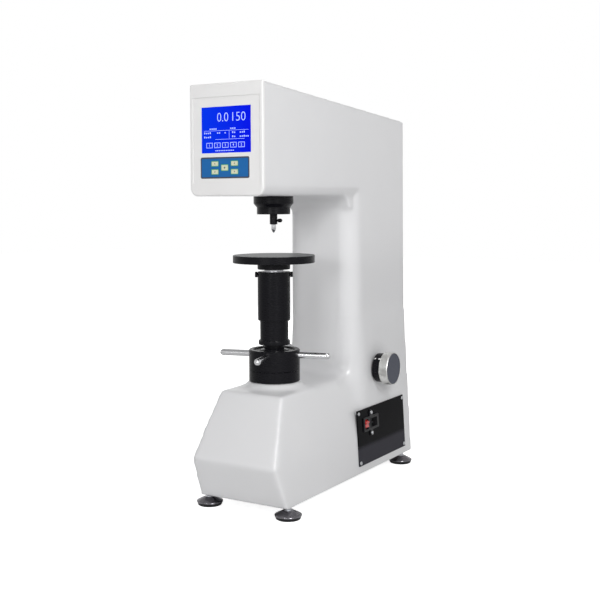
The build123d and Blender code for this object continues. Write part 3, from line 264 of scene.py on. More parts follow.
def metal(name, pale, deep, rough, stretch, scale=900.0, relief=0.15, metallic=1.0, **constants):
    """Machined metal: fine marks of the tool, long in one direction."""
    finish = Finish(name, Metallic=metallic, **constants)
    marks = finish.noise(scale, 3.0, stretch)
    finish.set("Base Color", finish.colour(marks, deep, pale))
    finish.set("Roughness", marks * 0.16 + (rough - 0.08) + finish.noise(25.0) * 0.06)
    finish.bump(marks, relief, 0.0001)
    return finish.material


white_enamel = painted("white_enamel", (0.80, 0.80, 0.81), (0.755, 0.757, 0.77), 0.30,
                       Coat_Weight=0.25, Coat_Roughness=0.12)
fascia_white = painted("fascia_white", (0.87, 0.865, 0.86), (0.83, 0.825, 0.825), 0.36, 700.0, 0.08)
cover_white = painted("cover_white", (0.79, 0.79, 0.80), (0.75, 0.75, 0.76), 0.42, 600.0, 0.15)
black_oxide = metal("black_oxide", (0.0062, 0.006, 0.0085), (0.0026, 0.0026, 0.004), 0.24,
                    (1, 1, 14), 160.0, 0.08, 0.0, Specular_IOR_Level=0.16)
polished_steel = metal("polished_steel", (0.74, 0.74, 0.75), (0.60, 0.60, 0.62), 0.14, (1, 1, 1), 300.0, 0.04)
ground_steel = metal("ground_steel", (0.66, 0.66, 0.67), (0.50, 0.50, 0.51), 0.34, (1, 12, 1), 300.0, 0.15)
turned_steel = metal("turned_steel", (0.58, 0.58, 0.60), (0.40, 0.40, 0.42), 0.30, (1, 1, 20), 260.0, 0.2)
zinc = metal("zinc", (0.70, 0.71, 0.73), (0.55, 0.56, 0.58), 0.26, (3, 3, 3), 120.0, 0.1)
bronze = metal("bronze", (0.72, 0.50, 0.24), (0.55, 0.36, 0.15), 0.32, (1, 1, 16), 220.0, 0.15)
cast_weight = metal("cast_weight", (0.10, 0.10, 0.11), (0.06, 0.06, 0.065), 0.5, (2, 2, 2), 200.0, 0.4, 0.6)
dark_plating = metal("dark_plating", (0.30, 0.29, 0.31), (0.16, 0.155, 0.17), 0.18, (1, 1, 6), 180.0, 0.06)
knob_silver = metal("knob_silver", (0.88, 0.88, 0.86), (0.74, 0.74, 0.72), 0.32, (10, 1, 1), 260.0, 0.15)
slate_face = metal("slate_face", (0.105, 0.115, 0.150), (0.06, 0.066, 0.09), 0.36,
                   (1, 1, 1), 320.0, 0.15, 0.5)

# Below a height of about 70 mm the panel's black is painted paler and made a little glossier. This is a
# painted reflection of the white floor along its lower edge, not a colour of the panel.
panel_gloss = Finish("panel_black", Specular_IOR_Level=0.04)
panel_height = panel_gloss.node("ShaderNodeSeparateXYZ", None, {"Vector": panel_gloss.place()}, out=2)
band = {"Value": panel_height + panel_gloss.noise(20.0) * 0.004, "From Min": 0.066, "From Max": 0.078}
painted_reflection = panel_gloss.node("ShaderNodeMapRange", {"interpolation_type": "SMOOTHSTEP"}, band)
panel_gloss.set("Base Color", panel_gloss.colour(painted_reflection, (0.038, 0.037, 0.047), (0.002, 0.002, 0.003)))
panel_gloss.set("Roughness", painted_reflection * 0.06 + 0.12)
panel_black = panel_gloss.material

black_plastic = painted("black_plastic", (0.022, 0.022, 0.024), (0.012, 0.012, 0.014), 0.32, 900.0, 0.2,
                        Specular_IOR_Level=0.25)
red_plastic = painted("red_plastic", (0.62, 0.035, 0.03), (0.48, 0.02, 0.02), 0.22, 600.0, 0.05,
                      Coat_Weight=0.4)
film_blue = painted("film_blue", (0.020, 0.150, 0.43), (0.013, 0.125, 0.38), 0.40, 900.0, 0.1,
                    Specular_IOR_Level=0.15)
film_dark = painted("film_dark", (0.075, 0.09, 0.115), (0.055, 0.065, 0.09), 0.4, 900.0, 0.1,
                    Specular_IOR_Level=0.15)
key_green = painted("key_green", (0.06, 0.42, 0.16), (0.04, 0.34, 0.12), 0.4, 900.0, 0.1)
key_cream = painted("key_cream", (0.74, 0.76, 0.56), (0.66, 0.68, 0.50), 0.4, 900.0, 0.1)
key_mark = painted("key_mark", (0.16, 0.20, 0.16), (0.10, 0.14, 0.11), 0.5, 900.0, 0.1)
board_green = painted("board_green", (0.02, 0.16, 0.07), (0.01, 0.10, 0.04), 0.35, 260.0, 0.3)
module_grey = metal("module_grey", (0.45, 0.46, 0.47), (0.34, 0.35, 0.36), 0.4, (4, 4, 4), 120.0, 0.15)
diamond = metal("diamond", (0.50, 0.55, 0.60), (0.30, 0.34, 0.40), 0.12, (1, 1, 1), 300.0, 0.02, 0.2)
print("finishes:", len(bpy.data.materials))

# %% [markdown]
# A few moves shape nearly everything here: a box between two corners, a turned piece whose outline is spun
# round an axis, a chosen set of corners or edges for an operator to work on, and a cut with another solid.

# %% Moves of the workshop


def fresh():
    """Object mode with nothing selected."""
    if bpy.context.object is not None and bpy.context.object.mode != "OBJECT":
        bpy.ops.object.mode_set(mode="OBJECT")
    bpy.ops.object.select_all(action="DESELECT")


def only(piece):
    """Selects one piece."""
    fresh()
    bpy.context.view_layer.objects.active = piece
    piece.select_set(True)


def settled(name):
    """Names the primitive just added and moves its place into its mesh."""
    piece = bpy.context.object
    piece.name = piece.data.name = name
    bpy.ops.object.transform_apply(location=True, rotation=True, scale=True)
    return piece


def block(name, low, high):
    """A box between two corners."""
    fresh()
    first, last = at(*low), at(*high)
    bpy.ops.mesh.primitive_cube_add(size=1, location=(first + last) / 2, scale=last - first)
    return settled(name)


def choose(piece, test, kind="VERT"):
    """Edit mode with only the corners, edges or faces selected whose middle and normal pass a test."""
    only(piece)
    bpy.ops.object.mode_set(mode="EDIT")
    bpy.ops.mesh.select_mode(type=kind)
    bpy.ops.mesh.select_all(action="DESELECT")
    mesh = bmesh.from_edit_mesh(piece.data)
    mesh.normal_update()
    if kind == "VERT":
        for corner in mesh.verts:
            corner.select_set(test(from_screw(corner.co), corner.normal))
    if kind == "EDGE":
        for edge in mesh.edges:
            first, last = (end.co for end in edge.verts)
            edge.select_set(test(from_screw((first + last) / 2), (first - last).normalized()))
    if kind == "FACE":
        for face in mesh.faces:
            face.select_set(test(from_screw(face.calc_center_median()), face.normal))
    mesh.select_flush_mode()
    bmesh.update_edit_mesh(piece.data)


def done():
    """Back to object mode."""
    bpy.ops.object.mode_set(mode="OBJECT")


def moved(piece, matrix):
    """Moves a piece and settles the move into its mesh."""
    piece.matrix_world = matrix
    only(piece)
    bpy.ops.object.transform_apply(location=True, rotation=True, scale=True)
    return piece


def rotated(piece, angle, axis, centre):
    """Turns a piece about an axis through a centre."""
    choose(piece, lambda p, n: True)
    bpy.ops.transform.rotate(value=angle, orient_axis=axis, center_override=centre)
    done()
    return piece


def rounded(piece, radius, steps, test):
    """Rounds the edges whose middle and direction pass a test."""
    choose(piece, test, "EDGE")
    bpy.ops.mesh.bevel(offset=radius * MM, segments=steps)
    done()
    return piece

def modified(piece, kind, **settings):
    """Adds a modifier and applies it at once."""
    only(piece)
    modifier = piece.modifiers.new(kind.lower(), kind)
    for key, value in settings.items():
        setattr(modifier, key, value)
    bpy.ops.object.modifier_apply(modifier=modifier.name)
    return piece


def softened(piece, width, angle=32, segments=3):
    """Breaks the sharp edges of a piece, as a file or a mould does."""
    return modified(piece, "BEVEL", width=width * MM, segments=segments, limit_method="ANGLE",
                    angle_limit=radians(angle), harden_normals=False)


def combined(piece, other, operation):
    """Adds or cuts one solid with another, which is used up."""
    modified(piece, "BOOLEAN", object=other, operation=operation, solver="EXACT")
    bpy.data.objects.remove(other)
    return piece


def cut(piece, other):
    return combined(piece, other, "DIFFERENCE")


def joined(name, pieces):
    """Several pieces as one object."""
    only(pieces[0])
    for piece in pieces:
        piece.select_set(True)
    if len(pieces) > 1:
        bpy.ops.object.join()
    pieces[0].name = pieces[0].data.name = name
    return pieces[0]


def rod(radius, start, end):
    """The outline of a plain rod."""
    return [(0, start), (radius, start), (radius, end), (0, end)]


def turned(name, outline, centre=screw, steps=96, axis="Z"):
    """A turned piece: an outline of (radius, distance along the axis) is spun round it."""
    fresh()
    bpy.ops.mesh.primitive_plane_add(size=0.01, location=(0, 0, 0))
    piece = settled(name)
    bpy.ops.object.mode_set(mode="EDIT")
    bpy.ops.mesh.select_mode(type="VERT")
    bpy.ops.mesh.select_all(action="SELECT")
    bpy.ops.mesh.merge(type="CENTER")
    here = (0, 0)
    for step, (radius, distance) in enumerate(outline):
        move = {"value": ((radius - here[0]) * MM, 0, (distance - here[1]) * MM)}
        if step == 0:
            bpy.ops.transform.translate(**move)
        else:
            bpy.ops.mesh.extrude_region_move(TRANSFORM_OT_translate=move)
        here = (radius, distance)
    bpy.ops.mesh.select_all(action="SELECT")
    bpy.ops.mesh.spin(steps=steps, angle=2 * pi, center=(0, 0, 0), axis=(0, 0, 1))
    bpy.ops.mesh.select_all(action="SELECT")
    bpy.ops.mesh.remove_doubles(threshold=0.000005)
    bpy.ops.mesh.normals_make_consistent(inside=False)
    done()
    lay = Matrix.Rotation(pi / 2, 4, "Y") if axis == "X" else Matrix.Identity(4)
    return moved(piece, Matrix.Translation(centre) @ lay)


def smooth(piece, angle=35):
    """Smooth shading, broken at the real edges, with flat faces kept flat beside small rounded ones."""
    only(piece)
    bpy.ops.object.shade_smooth_by_angle(angle=radians(angle))
    return modified(piece, "WEIGHTED_NORMAL", keep_sharp=True, weight=80)


def swung(piece, height, angle):
    """Lifts a piece made at the foot of the screw to a height and swings it round the screw."""
    lift = Matrix.Translation(at(0, 0, height)) @ Matrix.Rotation(angle, 4, "Z") @ Matrix.Translation(-screw)
    return moved(piece, lift)


def finished(piece, finish, body, slot, *replaced):
    """Gives a piece its finish, the body it moves with and the solids it stands for."""
    piece.data.materials.clear()
    piece.data.materials.append(finish)
    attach(piece, body)
    if replaced:
        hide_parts(*replaced)
    print(piece.name, "faces:", len(piece.data.polygons))
    return piece


# %% [markdown]
# The casting is the whole body of the press. On the real one a wooden pattern with rounded edges gives its
# soft form, so it is made the same way: plain blocks for head, column, skirt and base are put together, the
# lump is remeshed fine, and its corners are rubbed down by smoothing, more where the forms run together.

# %% Lines of the casting
BACK = 394  # its back
COLUMN = 165  # front of the column
FACE = -145  # front of the head, where the fascia sits
FRONT = -151  # front of the fascia
FLOOR = 20.5  # its underside
CREASE = 94  # where the plinth turns into the shoulder
TOP = 207.6  # top of the shoulder
SKIRT = 335  # where the sides stop leaning
HEAD = 556.5  # underside of the head
ROOF = 750  # front edge of the roof
FALL, RUN = 38, 545  # slope of the roof
HALF = 76  # half the width of head and column
HALF_LOW = 92.4  # half the width at the floor
FILLET = 26  # hollow between column and head
WALL = 8  # thickness of the walls
KNOB_ALONG, KNOB_UP = 252, 214  # axis of the force knob
FOOT_SIDE = 83  # studs of the feet, to either side
FOOT_ALONG = (-90, 358)  # and before and behind the screw


def half_width(height):
    """Half the width of the leaning sides at a height."""
    return HALF_LOW - (HALF_LOW - HALF) * (height - FLOOR) / (SKIRT - FLOOR)


def roof(y):
    """Height of the sloping roof at a distance behind the screw."""
    return ROOF - FALL * (y - FRONT) / RUN


print("roof from", ROOF, "to", round(roof(BACK), 1))

# %% Pattern of the casting


def tapered(piece, height, scale_x, front):
    """Draws in the top or bottom of a block: its width is scaled and its front edge moved."""
    choose(piece, lambda p, n: abs(p.z - height) < 0.5)
    bpy.ops.transform.resize(value=(scale_x, 1, 1), center_override=at(0, 0, height))
    done()
    choose(piece, lambda p, n: abs(p.z - height) < 0.5 and p.y < 0)
    bpy.ops.transform.translate(value=(0, front * MM, 0))
    done()


def under_roof(piece, drop):
    """Cuts off a block along the slope of the roof, at a depth below it."""
    only(piece)
    bpy.ops.object.mode_set(mode="EDIT")
    bpy.ops.mesh.select_all(action="SELECT")
    slope = Vector((0, FALL, RUN)).normalized()
    bpy.ops.mesh.bisect(plane_co=at(0, FRONT, ROOF - drop), plane_no=slope, clear_outer=True, use_fill=True)
    done()
    return piece


head = under_roof(block("casting", (-HALF, FACE - 12, HEAD), (HALF, BACK, ROOF + 25)), 0)
rounded(head, 15, 6, lambda p, d: abs(p.z - HEAD) < 1 and abs(d.y) > 0.9)
column = block("column", (-HALF, COLUMN, FLOOR), (HALF, BACK, 600))
skirt = block("skirt", (-HALF_LOW, COLUMN, FLOOR), (HALF_LOW, BACK, SKIRT))
tapered(skirt, SKIRT, HALF / HALF_LOW, 0)
for form in (column, skirt):
    rounded(form, 36, 12, lambda p, d: p.y < COLUMN + 5 and abs(d.z) > 0.9)
low_half, crease_half = half_width(FLOOR), half_width(CREASE)
plinth = block("plinth", (-low_half, -107.4, FLOOR), (low_half, BACK, CREASE))
tapered(plinth, CREASE, crease_half / low_half, -32.2)
shoulder = block("shoulder", (-crease_half, -139.6, CREASE), (crease_half, 203, TOP))
tapered(shoulder, TOP, 65.3 / crease_half, 60.1)
boss = turned("boss", [(0, 190), (66, 190), (66, TOP - 2), (56, 210.5), (50, 214), (50, 219.5), (0, 219.5)])
web = block("web", (-70, COLUMN - FILLET, HEAD - FILLET), (70, COLUMN + 10, HEAD + 10))
cut(web, turned("hollow", rod(FILLET, -90, 90), at(0, COLUMN - FILLET, HEAD - FILLET), 64, "X"))
for form in (column, skirt, plinth, shoulder, boss, web):
    combined(head, form, "UNION")
print("pattern faces:", len(head.data.polygons))

# %% Rub the pattern down
modified(head, "REMESH", mode="VOXEL", voxel_size=0.0036, adaptivity=0.0)
print("remeshed faces:", len(head.data.polygons))


def rub(test, turns):
    """Smooths the chosen part of the casting."""
    choose(head, test)
    bpy.ops.mesh.vertices_smooth(factor=0.5, repeat=turns)
    done()


rub(lambda p, n: p.y < BACK - 3 and FLOOR + 3 < p.z < HEAD + 10, 6)
rub(lambda p, n: p.y < BACK - 3 and p.z > HEAD + 5, 3)
rub(lambda p, n: 40 < p.y < 240 and 60 < p.z < 320 and abs(p.x) > 40, 40)
rub(lambda p, n: -160 < p.y < 220 and 60 < p.z < 132, 8)
rub(lambda p, n: 120 < p.y < 210 and 180 < p.z < 245, 30)

# %% [markdown]
# Machining comes after casting. The front of the head is faced flat for the fascia, the inside is hollow with
# walls of 8 mm, and there are openings for the covers, bores for nut, spindle and knob, and taps for the
# feet. Each is one cut with a plain block or a turned plug.

# %% Hollow and machine the casting
inner, rear = HALF - WALL, BACK - WALL
cut(head, block("facing", (-90, FACE - 40, HEAD - 20), (90, FACE, 800)))
core = under_roof(block("core", (-inner, FACE - 1, HEAD + WALL), (inner, rear, ROOF + 10)), WALL)
lintel = block("lintel", (-90, FACE - 2, HEAD - 10), (90, FACE + WALL, 800))
cut(lintel, block("face_opening", (-60, FACE - 3, 583), (60, FACE + WALL + 1, 722)))
cut(core, lintel)
shaft_core = block("shaft_core", (-inner, COLUMN + WALL, FLOOR + 6), (inner, rear, 640))
rounded(shaft_core, 34, 6, lambda p, d: p.y < COLUMN + 15 and abs(d.z) > 0.9)
base_core = block("base_core", (-84, -96, FLOOR + 6), (84, rear, CREASE))
tapered(base_core, CREASE, 80 / 84, -28)
top_core = block("top_core", (-80, -124, CREASE), (80, 190, TOP - WALL))
tapered(top_core, TOP - WALL, 57 / 80, 53)
for form in (shaft_core, base_core, top_core):
    combined(core, form, "UNION")
knob_axis = at(0, KNOB_ALONG, KNOB_UP)
cut(core, turned("tube", rod(40, 118, TOP + 4), steps=48))
cut(core, turned("spindle_boss", rod(24, HEAD - 2, HEAD + 30), steps=48))
cut(core, turned("knob_boss", rod(24, 60, 100), knob_axis, 48, "X"))
for side in (-1, 1):
    for along in FOOT_ALONG:
        cut(core, turned("foot_post", rod(22, FLOOR - 1, FLOOR + 28), at(side * 74, along, 0), 32))
cut(head, core)
print("hollowed, faces:", len(head.data.polygons))

# %% Bores and openings
lean = atan2(HALF_LOW - HALF, SKIRT - FLOOR)
side_frame = Matrix((
    (0, -sin(lean), cos(lean), 0),
    (1, 0, 0, 0),
    (0, cos(lean), sin(lean), 0),
    (0, 0, 0, 1),
))


def lean_out(piece):
    """Moves a piece drawn flat, as (along, up, out), onto the leaning right side of the casting."""
    piece.data.transform(Matrix.Translation(-screw))
    return moved(piece, Matrix.Translation(at(HALF_LOW, 0, FLOOR)) @ side_frame)


def up_side(height):
    """Distance up the leaning side at which a height is reached."""
    return (height - FLOOR) / cos(lean)


PANEL_LOW = up_side(35.5)
PANEL_HIGH = up_side(142)
bores = [
    turned("nut_bore", [(0, 118), (28, 118), (28, 142), (22.05, 142), (22.05, 230), (0, 230)], steps=64),
    turned("spindle_bore", rod(16, HEAD - 9, HEAD + 34), steps=64),
    turned("knob_bore", rod(14, 50, 110), knob_axis, 48, "X"),
    block("floor_opening", (-80, -92, FLOOR - 5), (80, BACK - 14, FLOOR + 7)),
    block("rear_recess", (-70, BACK - 2, 98), (70, BACK + 9, 672)),
    block("rear_opening", (-58, BACK - 12, 110), (58, BACK + 9, 660)),
    lean_out(block("side_opening", (170, PANEL_LOW + 14, -30), (346, PANEL_HIGH - 14, 12))),
]
for side in (-1, 1):
    for along in FOOT_ALONG:
        tap = rod(6.05, FLOOR - 4, FLOOR + 16)
        bores.append(turned("foot_tap", tap, at(side * FOOT_SIDE, along, 0), 32))
roof_middle = 120
lean_back = Matrix.Rotation(-atan2(FALL, RUN), 4, "X")
on_roof = Matrix.Translation(at(0, roof_middle, roof(roof_middle))) @ lean_back
for name, half, low, high in (("roof_recess", 58, -2, 9), ("roof_opening", 46, -14, 9)):
    reach = 182 + half
    lid = block(name, (-half, -reach, low), (half, reach, high))
    lid.data.transform(Matrix.Translation(-screw))
    bores.append(moved(lid, on_roof))
for bore in bores:
    cut(head, bore)
finished(smooth(head, 40), white_enamel, "frame", "white_paint", "housing")

# %% [markdown]
# The fascia is a moulding that caps the head. Its lower corners are round, its edges are rolled over, and a
# shallow field between two seams carries the display and the keypad.

# %% Fascia
fascia = block("fascia", (-HALF, FRONT, HEAD), (HALF, FACE, ROOF))
rounded(fascia, 15, 10, lambda p, d: p.z < HEAD + 1 and abs(d.y) > 0.9)
rounded(fascia, 3, 4, lambda p, d: p.z > ROOF - 1 and abs(d.y) > 0.9)
rounded(fascia, 3.2, 6, lambda p, d: p.y < FRONT + 0.1 and abs(d.y) < 0.1)


def plate(name, half, low, high, front, back, corner, centre=0):
    """An upright plate across the front, with rounded corners."""
    piece = block(name, (centre - half, front, low), (centre + half, back, high))
    if corner:
        rounded(piece, corner, 5, lambda p, d: abs(d.y) > 0.9)
    return piece


AHEAD = FRONT - 2
PANE_HALF, PANE_LOW, PANE_HIGH = 51, 630.5, 709.5
field = plate("field", 69, 579, 726, AHEAD, -150.2, 2.5)
cut(fascia, field)
seam = plate("seam", 69.5, 578.5, 726.5, AHEAD, -149.8, 3)
cut(seam, plate("seam_inside", 68.6, 579.4, 725.6, -155, -149, 2.2))
cut(fascia, seam)
cut(fascia, plate("window_seat", PANE_HALF + 0.05, PANE_LOW - 0.05, PANE_HIGH + 0.05, AHEAD, -148.2, 0))
cut(fascia, plate("window_hole", PANE_HALF - 3, PANE_LOW + 3, PANE_HIGH - 3, AHEAD, -140, 0))
film_low, film_high = span("membrane_panel")
film_x = (film_low.x + film_high.x) / 2
film_half = (film_high.x - film_low.x) / 2
film_seat = plate("film_seat", film_half + 0.1, film_low.z - 0.1, film_high.z + 0.1, AHEAD, -149, 3.2, film_x)
cut(fascia, film_seat)
softened(fascia, 0.35, 40, 2)
finished(smooth(fascia, 30), fascia_white, "frame", "white_panel", "front_fascia")

# %% [markdown]
# The display is a backlit blue pane with pale figures. The figures are printed as thin mesh just proud of the
# pane: one large reading, small bars where rows of notes stand, three hairlines and five numbered boxes.

# %% Display
pane_blue = Finish("pane_blue", Specular_IOR_Level=0.03, Emission_Strength=0.5)
sweep = pane_blue.node("ShaderNodeSeparateXYZ", None, {"Vector": pane_blue.place((9, 9, 9))})
glow = pane_blue.node("ShaderNodeClamp", None, {0: sweep + 0.55})
pane_blue.glow(pane_blue.colour(glow, (0.0004, 0.026, 0.60), (0.0008, 0.0035, 0.56)))
pane_blue.set("Roughness", pane_blue.noise(40.0) * 0.05 + 0.13)

pane = plate("display_pane", PANE_HALF, PANE_LOW, PANE_HIGH, -150.1, -148.2, 0)
softened(pane, 0.25, 40, 2)
finished(smooth(pane, 30), pane_blue.material, "frame", "window", "display_window")

figure_pale = Finish("figure_pale", Emission_Strength=0.4)
figure_pale.glow(figure_pale.colour(figure_pale.noise(60.0), (0.36, 0.46, 0.92), (0.44, 0.54, 0.96)))
figure_pale.set("Roughness", figure_pale.noise(40.0) * 0.1 + 0.4)

# %% Figures
PRINT = -150.25
THIN = 0.08
FONT_SIZE = 1.37  # of figures one millimetre high


def written(text, x, z, height, squeeze, thick):
    """Plain figures on the display, made mesh and stood upright."""
    fresh()
    bpy.ops.object.text_add(location=(0, 0, 0))
    label = bpy.context.object
    label.data.body = text
    label.data.size = height * FONT_SIZE * MM
    label.data.extrude = THIN * MM
    label.data.offset = thick * MM
    bpy.ops.object.convert(target="MESH")
    upright = Matrix.Translation(at(x, PRINT + THIN, z)) @ Matrix.Rotation(pi / 2, 4, "X")
    return moved(bpy.context.object, upright @ Matrix.Diagonal((squeeze, 1, 1, 1)))


def bar(x, z, width, height):
    """A small lit bar on the display."""
    return block("bar", (x, PRINT, z), (x + width, PRINT + 0.15, z + height))


prints = [written("0.0", -18.8, 684.0, 16.0, 0.92, -0.3), written("150", 9.0, 684.0, 16.0, 0.98, -0.3)]
for x, count in ((-34, 4), (9, 3)):
    for step in range(count):
        prints.append(bar(x + 4 * step, 670.6, 2.6, 2.2))
ROWS = {
    663.5: (0, 1, 2, 3, 7, 8, 11, 15, 16, 19, 20, 21),
    656.5: (0, 1, 2, 3, 15, 16, 19, 20, 21, 22, 23),
}
for row, marks in ROWS.items():
    for mark in marks:
        prints.append(bar(-45.5 + 3.9 * mark, row, 2.2, 2.2 if mark % 3 else 3.0))
prints.append(bar(-46, 668.4, 92, 0.5))
prints.append(bar(-22, 653.4, 60, 0.5))
prints.append(bar(6.5, 654.5, 0.5, 13.5))
for key in range(5):
    left = -41 + 16.6 * key
    for up in (639.2, 647.3):
        prints.append(bar(left, up, 13, 0.9))
    for x in (left, left + 12.1):
        prints.append(bar(x, 639.2, 0.9, 9))
    prints.append(written(str(key + 1), left + 4.9, 641.6, 4.6, 0.9, 0.05))
for step in range(11):
    prints.append(bar(-22 + 3.6 * step, 633.6, 2.2, 1.7))
finished(joined("display_figures", prints), figure_pale.material, "frame", "window")

# %% [markdown]
# The keypad is a printed film with a dark border, let into the fascia. Five caps stand through it, each
# framed in green and marked with a plain arrow or a dot.

# %% Keypad film
KEYS = {}
for number in range(1, 6):
    low, high = span(f"key_{number}")
    KEYS[f"key_{number}"] = ((low.x + high.x) / 2, (low.z + high.z) / 2, high.x - low.x, high.z - low.z)


def key_plate(name, key, margin, front, back, corner):
    """A small plate over one key, grown all round by a margin."""
    x, z, width, height = KEYS[key]
    half, rise = width / 2 + margin, height / 2 + margin
    piece = block(name, (x - half, front, z - rise), (x + half, back, z + rise))
    return rounded(piece, corner, 3, lambda p, d: abs(d.y) > 0.9)


BORDER = 2.5
inside = (film_half - BORDER, film_low.z + BORDER, film_high.z - BORDER)
border = plate("film_border", film_half, film_low.z, film_high.z, -150.2, -149.02, 3.0, film_x)
print_field = plate("film_field", *inside, -150.32, -149.3, 1.6, film_x)
cut(border, plate("field_seat", *inside, -151, -149.3, 1.6, film_x))
frames = []
for key in KEYS:
    rim = key_plate("key_rim", key, 1.15, -150.42, -150.3, 1.0)
    for form in (border, print_field, rim):
        cut(form, key_plate("key_hole", key, 0.2, -152, -148, 0.8))
    frames.append(rim)
finished(smooth(softened(border, 0.12, 40, 1), 30), film_dark, "frame", "membrane", "membrane_panel")
finished(smooth(print_field, 30), film_blue, "frame", "membrane")
finished(joined("key_frames", frames), key_green, "frame", "membrane")

# %% Key caps
TURNS = {"key_1": 0, "key_2": pi / 2, "key_3": pi, "key_4": -pi / 2}
for key, (x, z, width, height) in KEYS.items():
    cap = key_plate(key + "_cap", key, 0, -150.5, -148.3, 0.7)
    softened(cap, 0.3, 60, 2)
    finished(smooth(cap, 40), key_cream, key + "_cap", "key", key)
    fresh()
    corners = 3 if key in TURNS else 32
    spot = at(x, -150.52, z)
    bpy.ops.mesh.primitive_cylinder_add(vertices=corners, radius=1.7 * MM, depth=0.16 * MM,
                                        location=spot, rotation=(pi / 2, 0, 0))
    mark = settled(key + "_mark")
    if key in TURNS:
        rotated(mark, TURNS[key], "Y", spot)
    finished(mark, key_mark, key + "_cap", "key")

# %% [markdown]
# The handwheel is a black hub on a base ring, with a dished top and four polished spokes. Everything round
# here is turned, as on a lathe: an outline is drawn once, in steps of (radius, height), and spun.

# %% Hub and base ring
SPOKE_UP = 267
SPOKE_TURNS = [radians(-75 + 90 * number) for number in range(4)]
hub_outline = [
    (42.3, 240.6), (42.3, 239.5), (46.2, 239.5), (46.7, 240.0), (46.7, 275.2), (45.3, 276.8), (39.6, 276.8),
    (38.6, 276.2), (37.8, 274.2), (26.4, 273.6), (25.2, 276.0), (22.05, 276.0), (22.05, 238.4), (42.3, 238.4),
]
hub = turned("hub", hub_outline, steps=128)
for angle in SPOKE_TURNS:
    socket = turned("spoke_socket", rod(6.0, 33, 60), steps=32, axis="X")
    cut(hub, swung(socket, SPOKE_UP, angle))
finished(smooth(hub, 32), black_oxide, "handwheel", "black_steel", "handwheel_hub")
ring_outline = [
    (43, 219.5), (46.3, 219.5), (46.7, 219.9), (46.7, 238.8), (46.3, 239.2), (43, 239.2), (43, 219.5),
]
base_ring = turned("base_ring", ring_outline, steps=128)
finished(smooth(base_ring, 32), black_oxide, "frame", "black_steel", "hub_base_ring")

# %% Spokes
spoke_outline = [
    (0, 33.5), (5.95, 33.5), (6.0, 34), (6.0, 97.5), (5.95, 99.2), (5.4, 101.6), (4.5, 103.4), (3.2, 104.7),
    (1.6, 105.25), (0, 105.3),
]
spokes = []
for angle in SPOKE_TURNS:
    spoke = turned("spoke", spoke_outline, steps=48, axis="X")
    spokes.append(swung(spoke, SPOKE_UP, angle))
star = joined("spokes", spokes)
finished(smooth(star, 40), polished_steel, "handwheel", "polished_steel", "handwheel_spokes")

# %% [markdown]
# Two sleeves slide over each other and keep dust off the elevating screw. Both are thin black tubes. The
# inner one turns with the hub and has a band at its foot, the outer one rises with the anvil.

# %% Sleeves
inner_outline = [
    (23, 288.0), (23, 372), (23.6, 372.6), (25.5, 372.6), (26, 372), (26, 294.2), (26.6, 293.4),
    (28.4, 293.2), (29, 292.4), (29, 286.2), (28.4, 285.5), (15.6, 285.5), (15.6, 288.0), (23, 288.0),
]
inner_tube = turned("inner_tube", inner_outline)
finished(smooth(inner_tube, 40), black_oxide, "handwheel", "black_steel", "inner_sleeve")
low, high = (corner.z for corner in span("outer_sleeve"))
outer_outline = [
    (27.1, low + 0.6), (27.1, high - 0.6), (27.6, high), (29.1, high), (29.75, high - 0.7),
    (29.75, low + 1.2), (29.3, low + 0.3), (28.6, low), (27.5, low), (27.1, low + 0.6),
]
outer = turned("outer_tube", outer_outline)
finished(smooth(outer, 40), black_oxide, "lift", "black_steel", "outer_sleeve")
print("outer sleeve from", round(low, 1), "to", round(high, 1))

# %% [markdown]
# The anvil is a thick flat table with a blackened rim and a ground top. The two finishes meet at a small
# bright chamfer, so they are two slots on one turned piece. Below it are its stem, and the two socket-head
# screws that hold the outer sleeve.

# %% Anvil
low, high = (corner.z for corner in span("anvil_plate"))
anvil_outline = [
    (0, high - 6.3), (12.3, high - 6.3), (12.3, low), (74.2, low), (75, low + 0.6), (75, high - 0.6),
    (74.5, high), (0, high),
]
anvil = turned("anvil_table", anvil_outline, steps=160)
finished(smooth(anvil, 30), black_oxide, "lift", "black_steel", "anvil_plate")
grinding = metal("anvil_ground", (0.17, 0.175, 0.18), (0.13, 0.135, 0.14), 0.38, (1, 14, 1), 260.0, 0.12)
anvil.data.materials.append(grinding)
for face in anvil.data.polygons:
    if face.center.z > (high - 0.9) * MM:
        face.material_index = 1

# %% Anvil stem and sleeve screws
stem_outline = [
    (0, 389), (8.5, 389), (9.5, 390.2), (9.5, 422.9), (29.2, 422.9), (30, 423.7), (30, 434.2), (29.4, 434.9),
    (12, 434.9), (12, 441), (0, 441),
]
stem = turned("anvil_stem", stem_outline)
finished(smooth(stem, 32), black_oxide, "lift", "black_steel", "anvil_hub")
stud_outline = [
    (0, 24.3), (2, 24.3), (2, 29.9), (4.7, 29.9), (5.1, 30.4), (5.2, 33.6), (4.8, 34.4), (3.9, 34.75),
    (0, 34.75),
]
heads = []
for angle in (radians(32), radians(212)):
    stud = turned("sleeve_stud", stud_outline, steps=40, axis="X")
    cut(stud, turned("socket", rod(2.6, 32.2, 36), steps=6, axis="X"))
    heads.append(swung(stud, 413.2, angle))
finished(smooth(joined("sleeve_studs", heads), 32), black_oxide, "lift", "black_steel", "sleeve_screws")

# %% [markdown]
# Below the head hangs a stepped black cover, and out of it come the nose of the spindle, the clamp screw with
# its rounded grip and the bright indenter with its diamond.

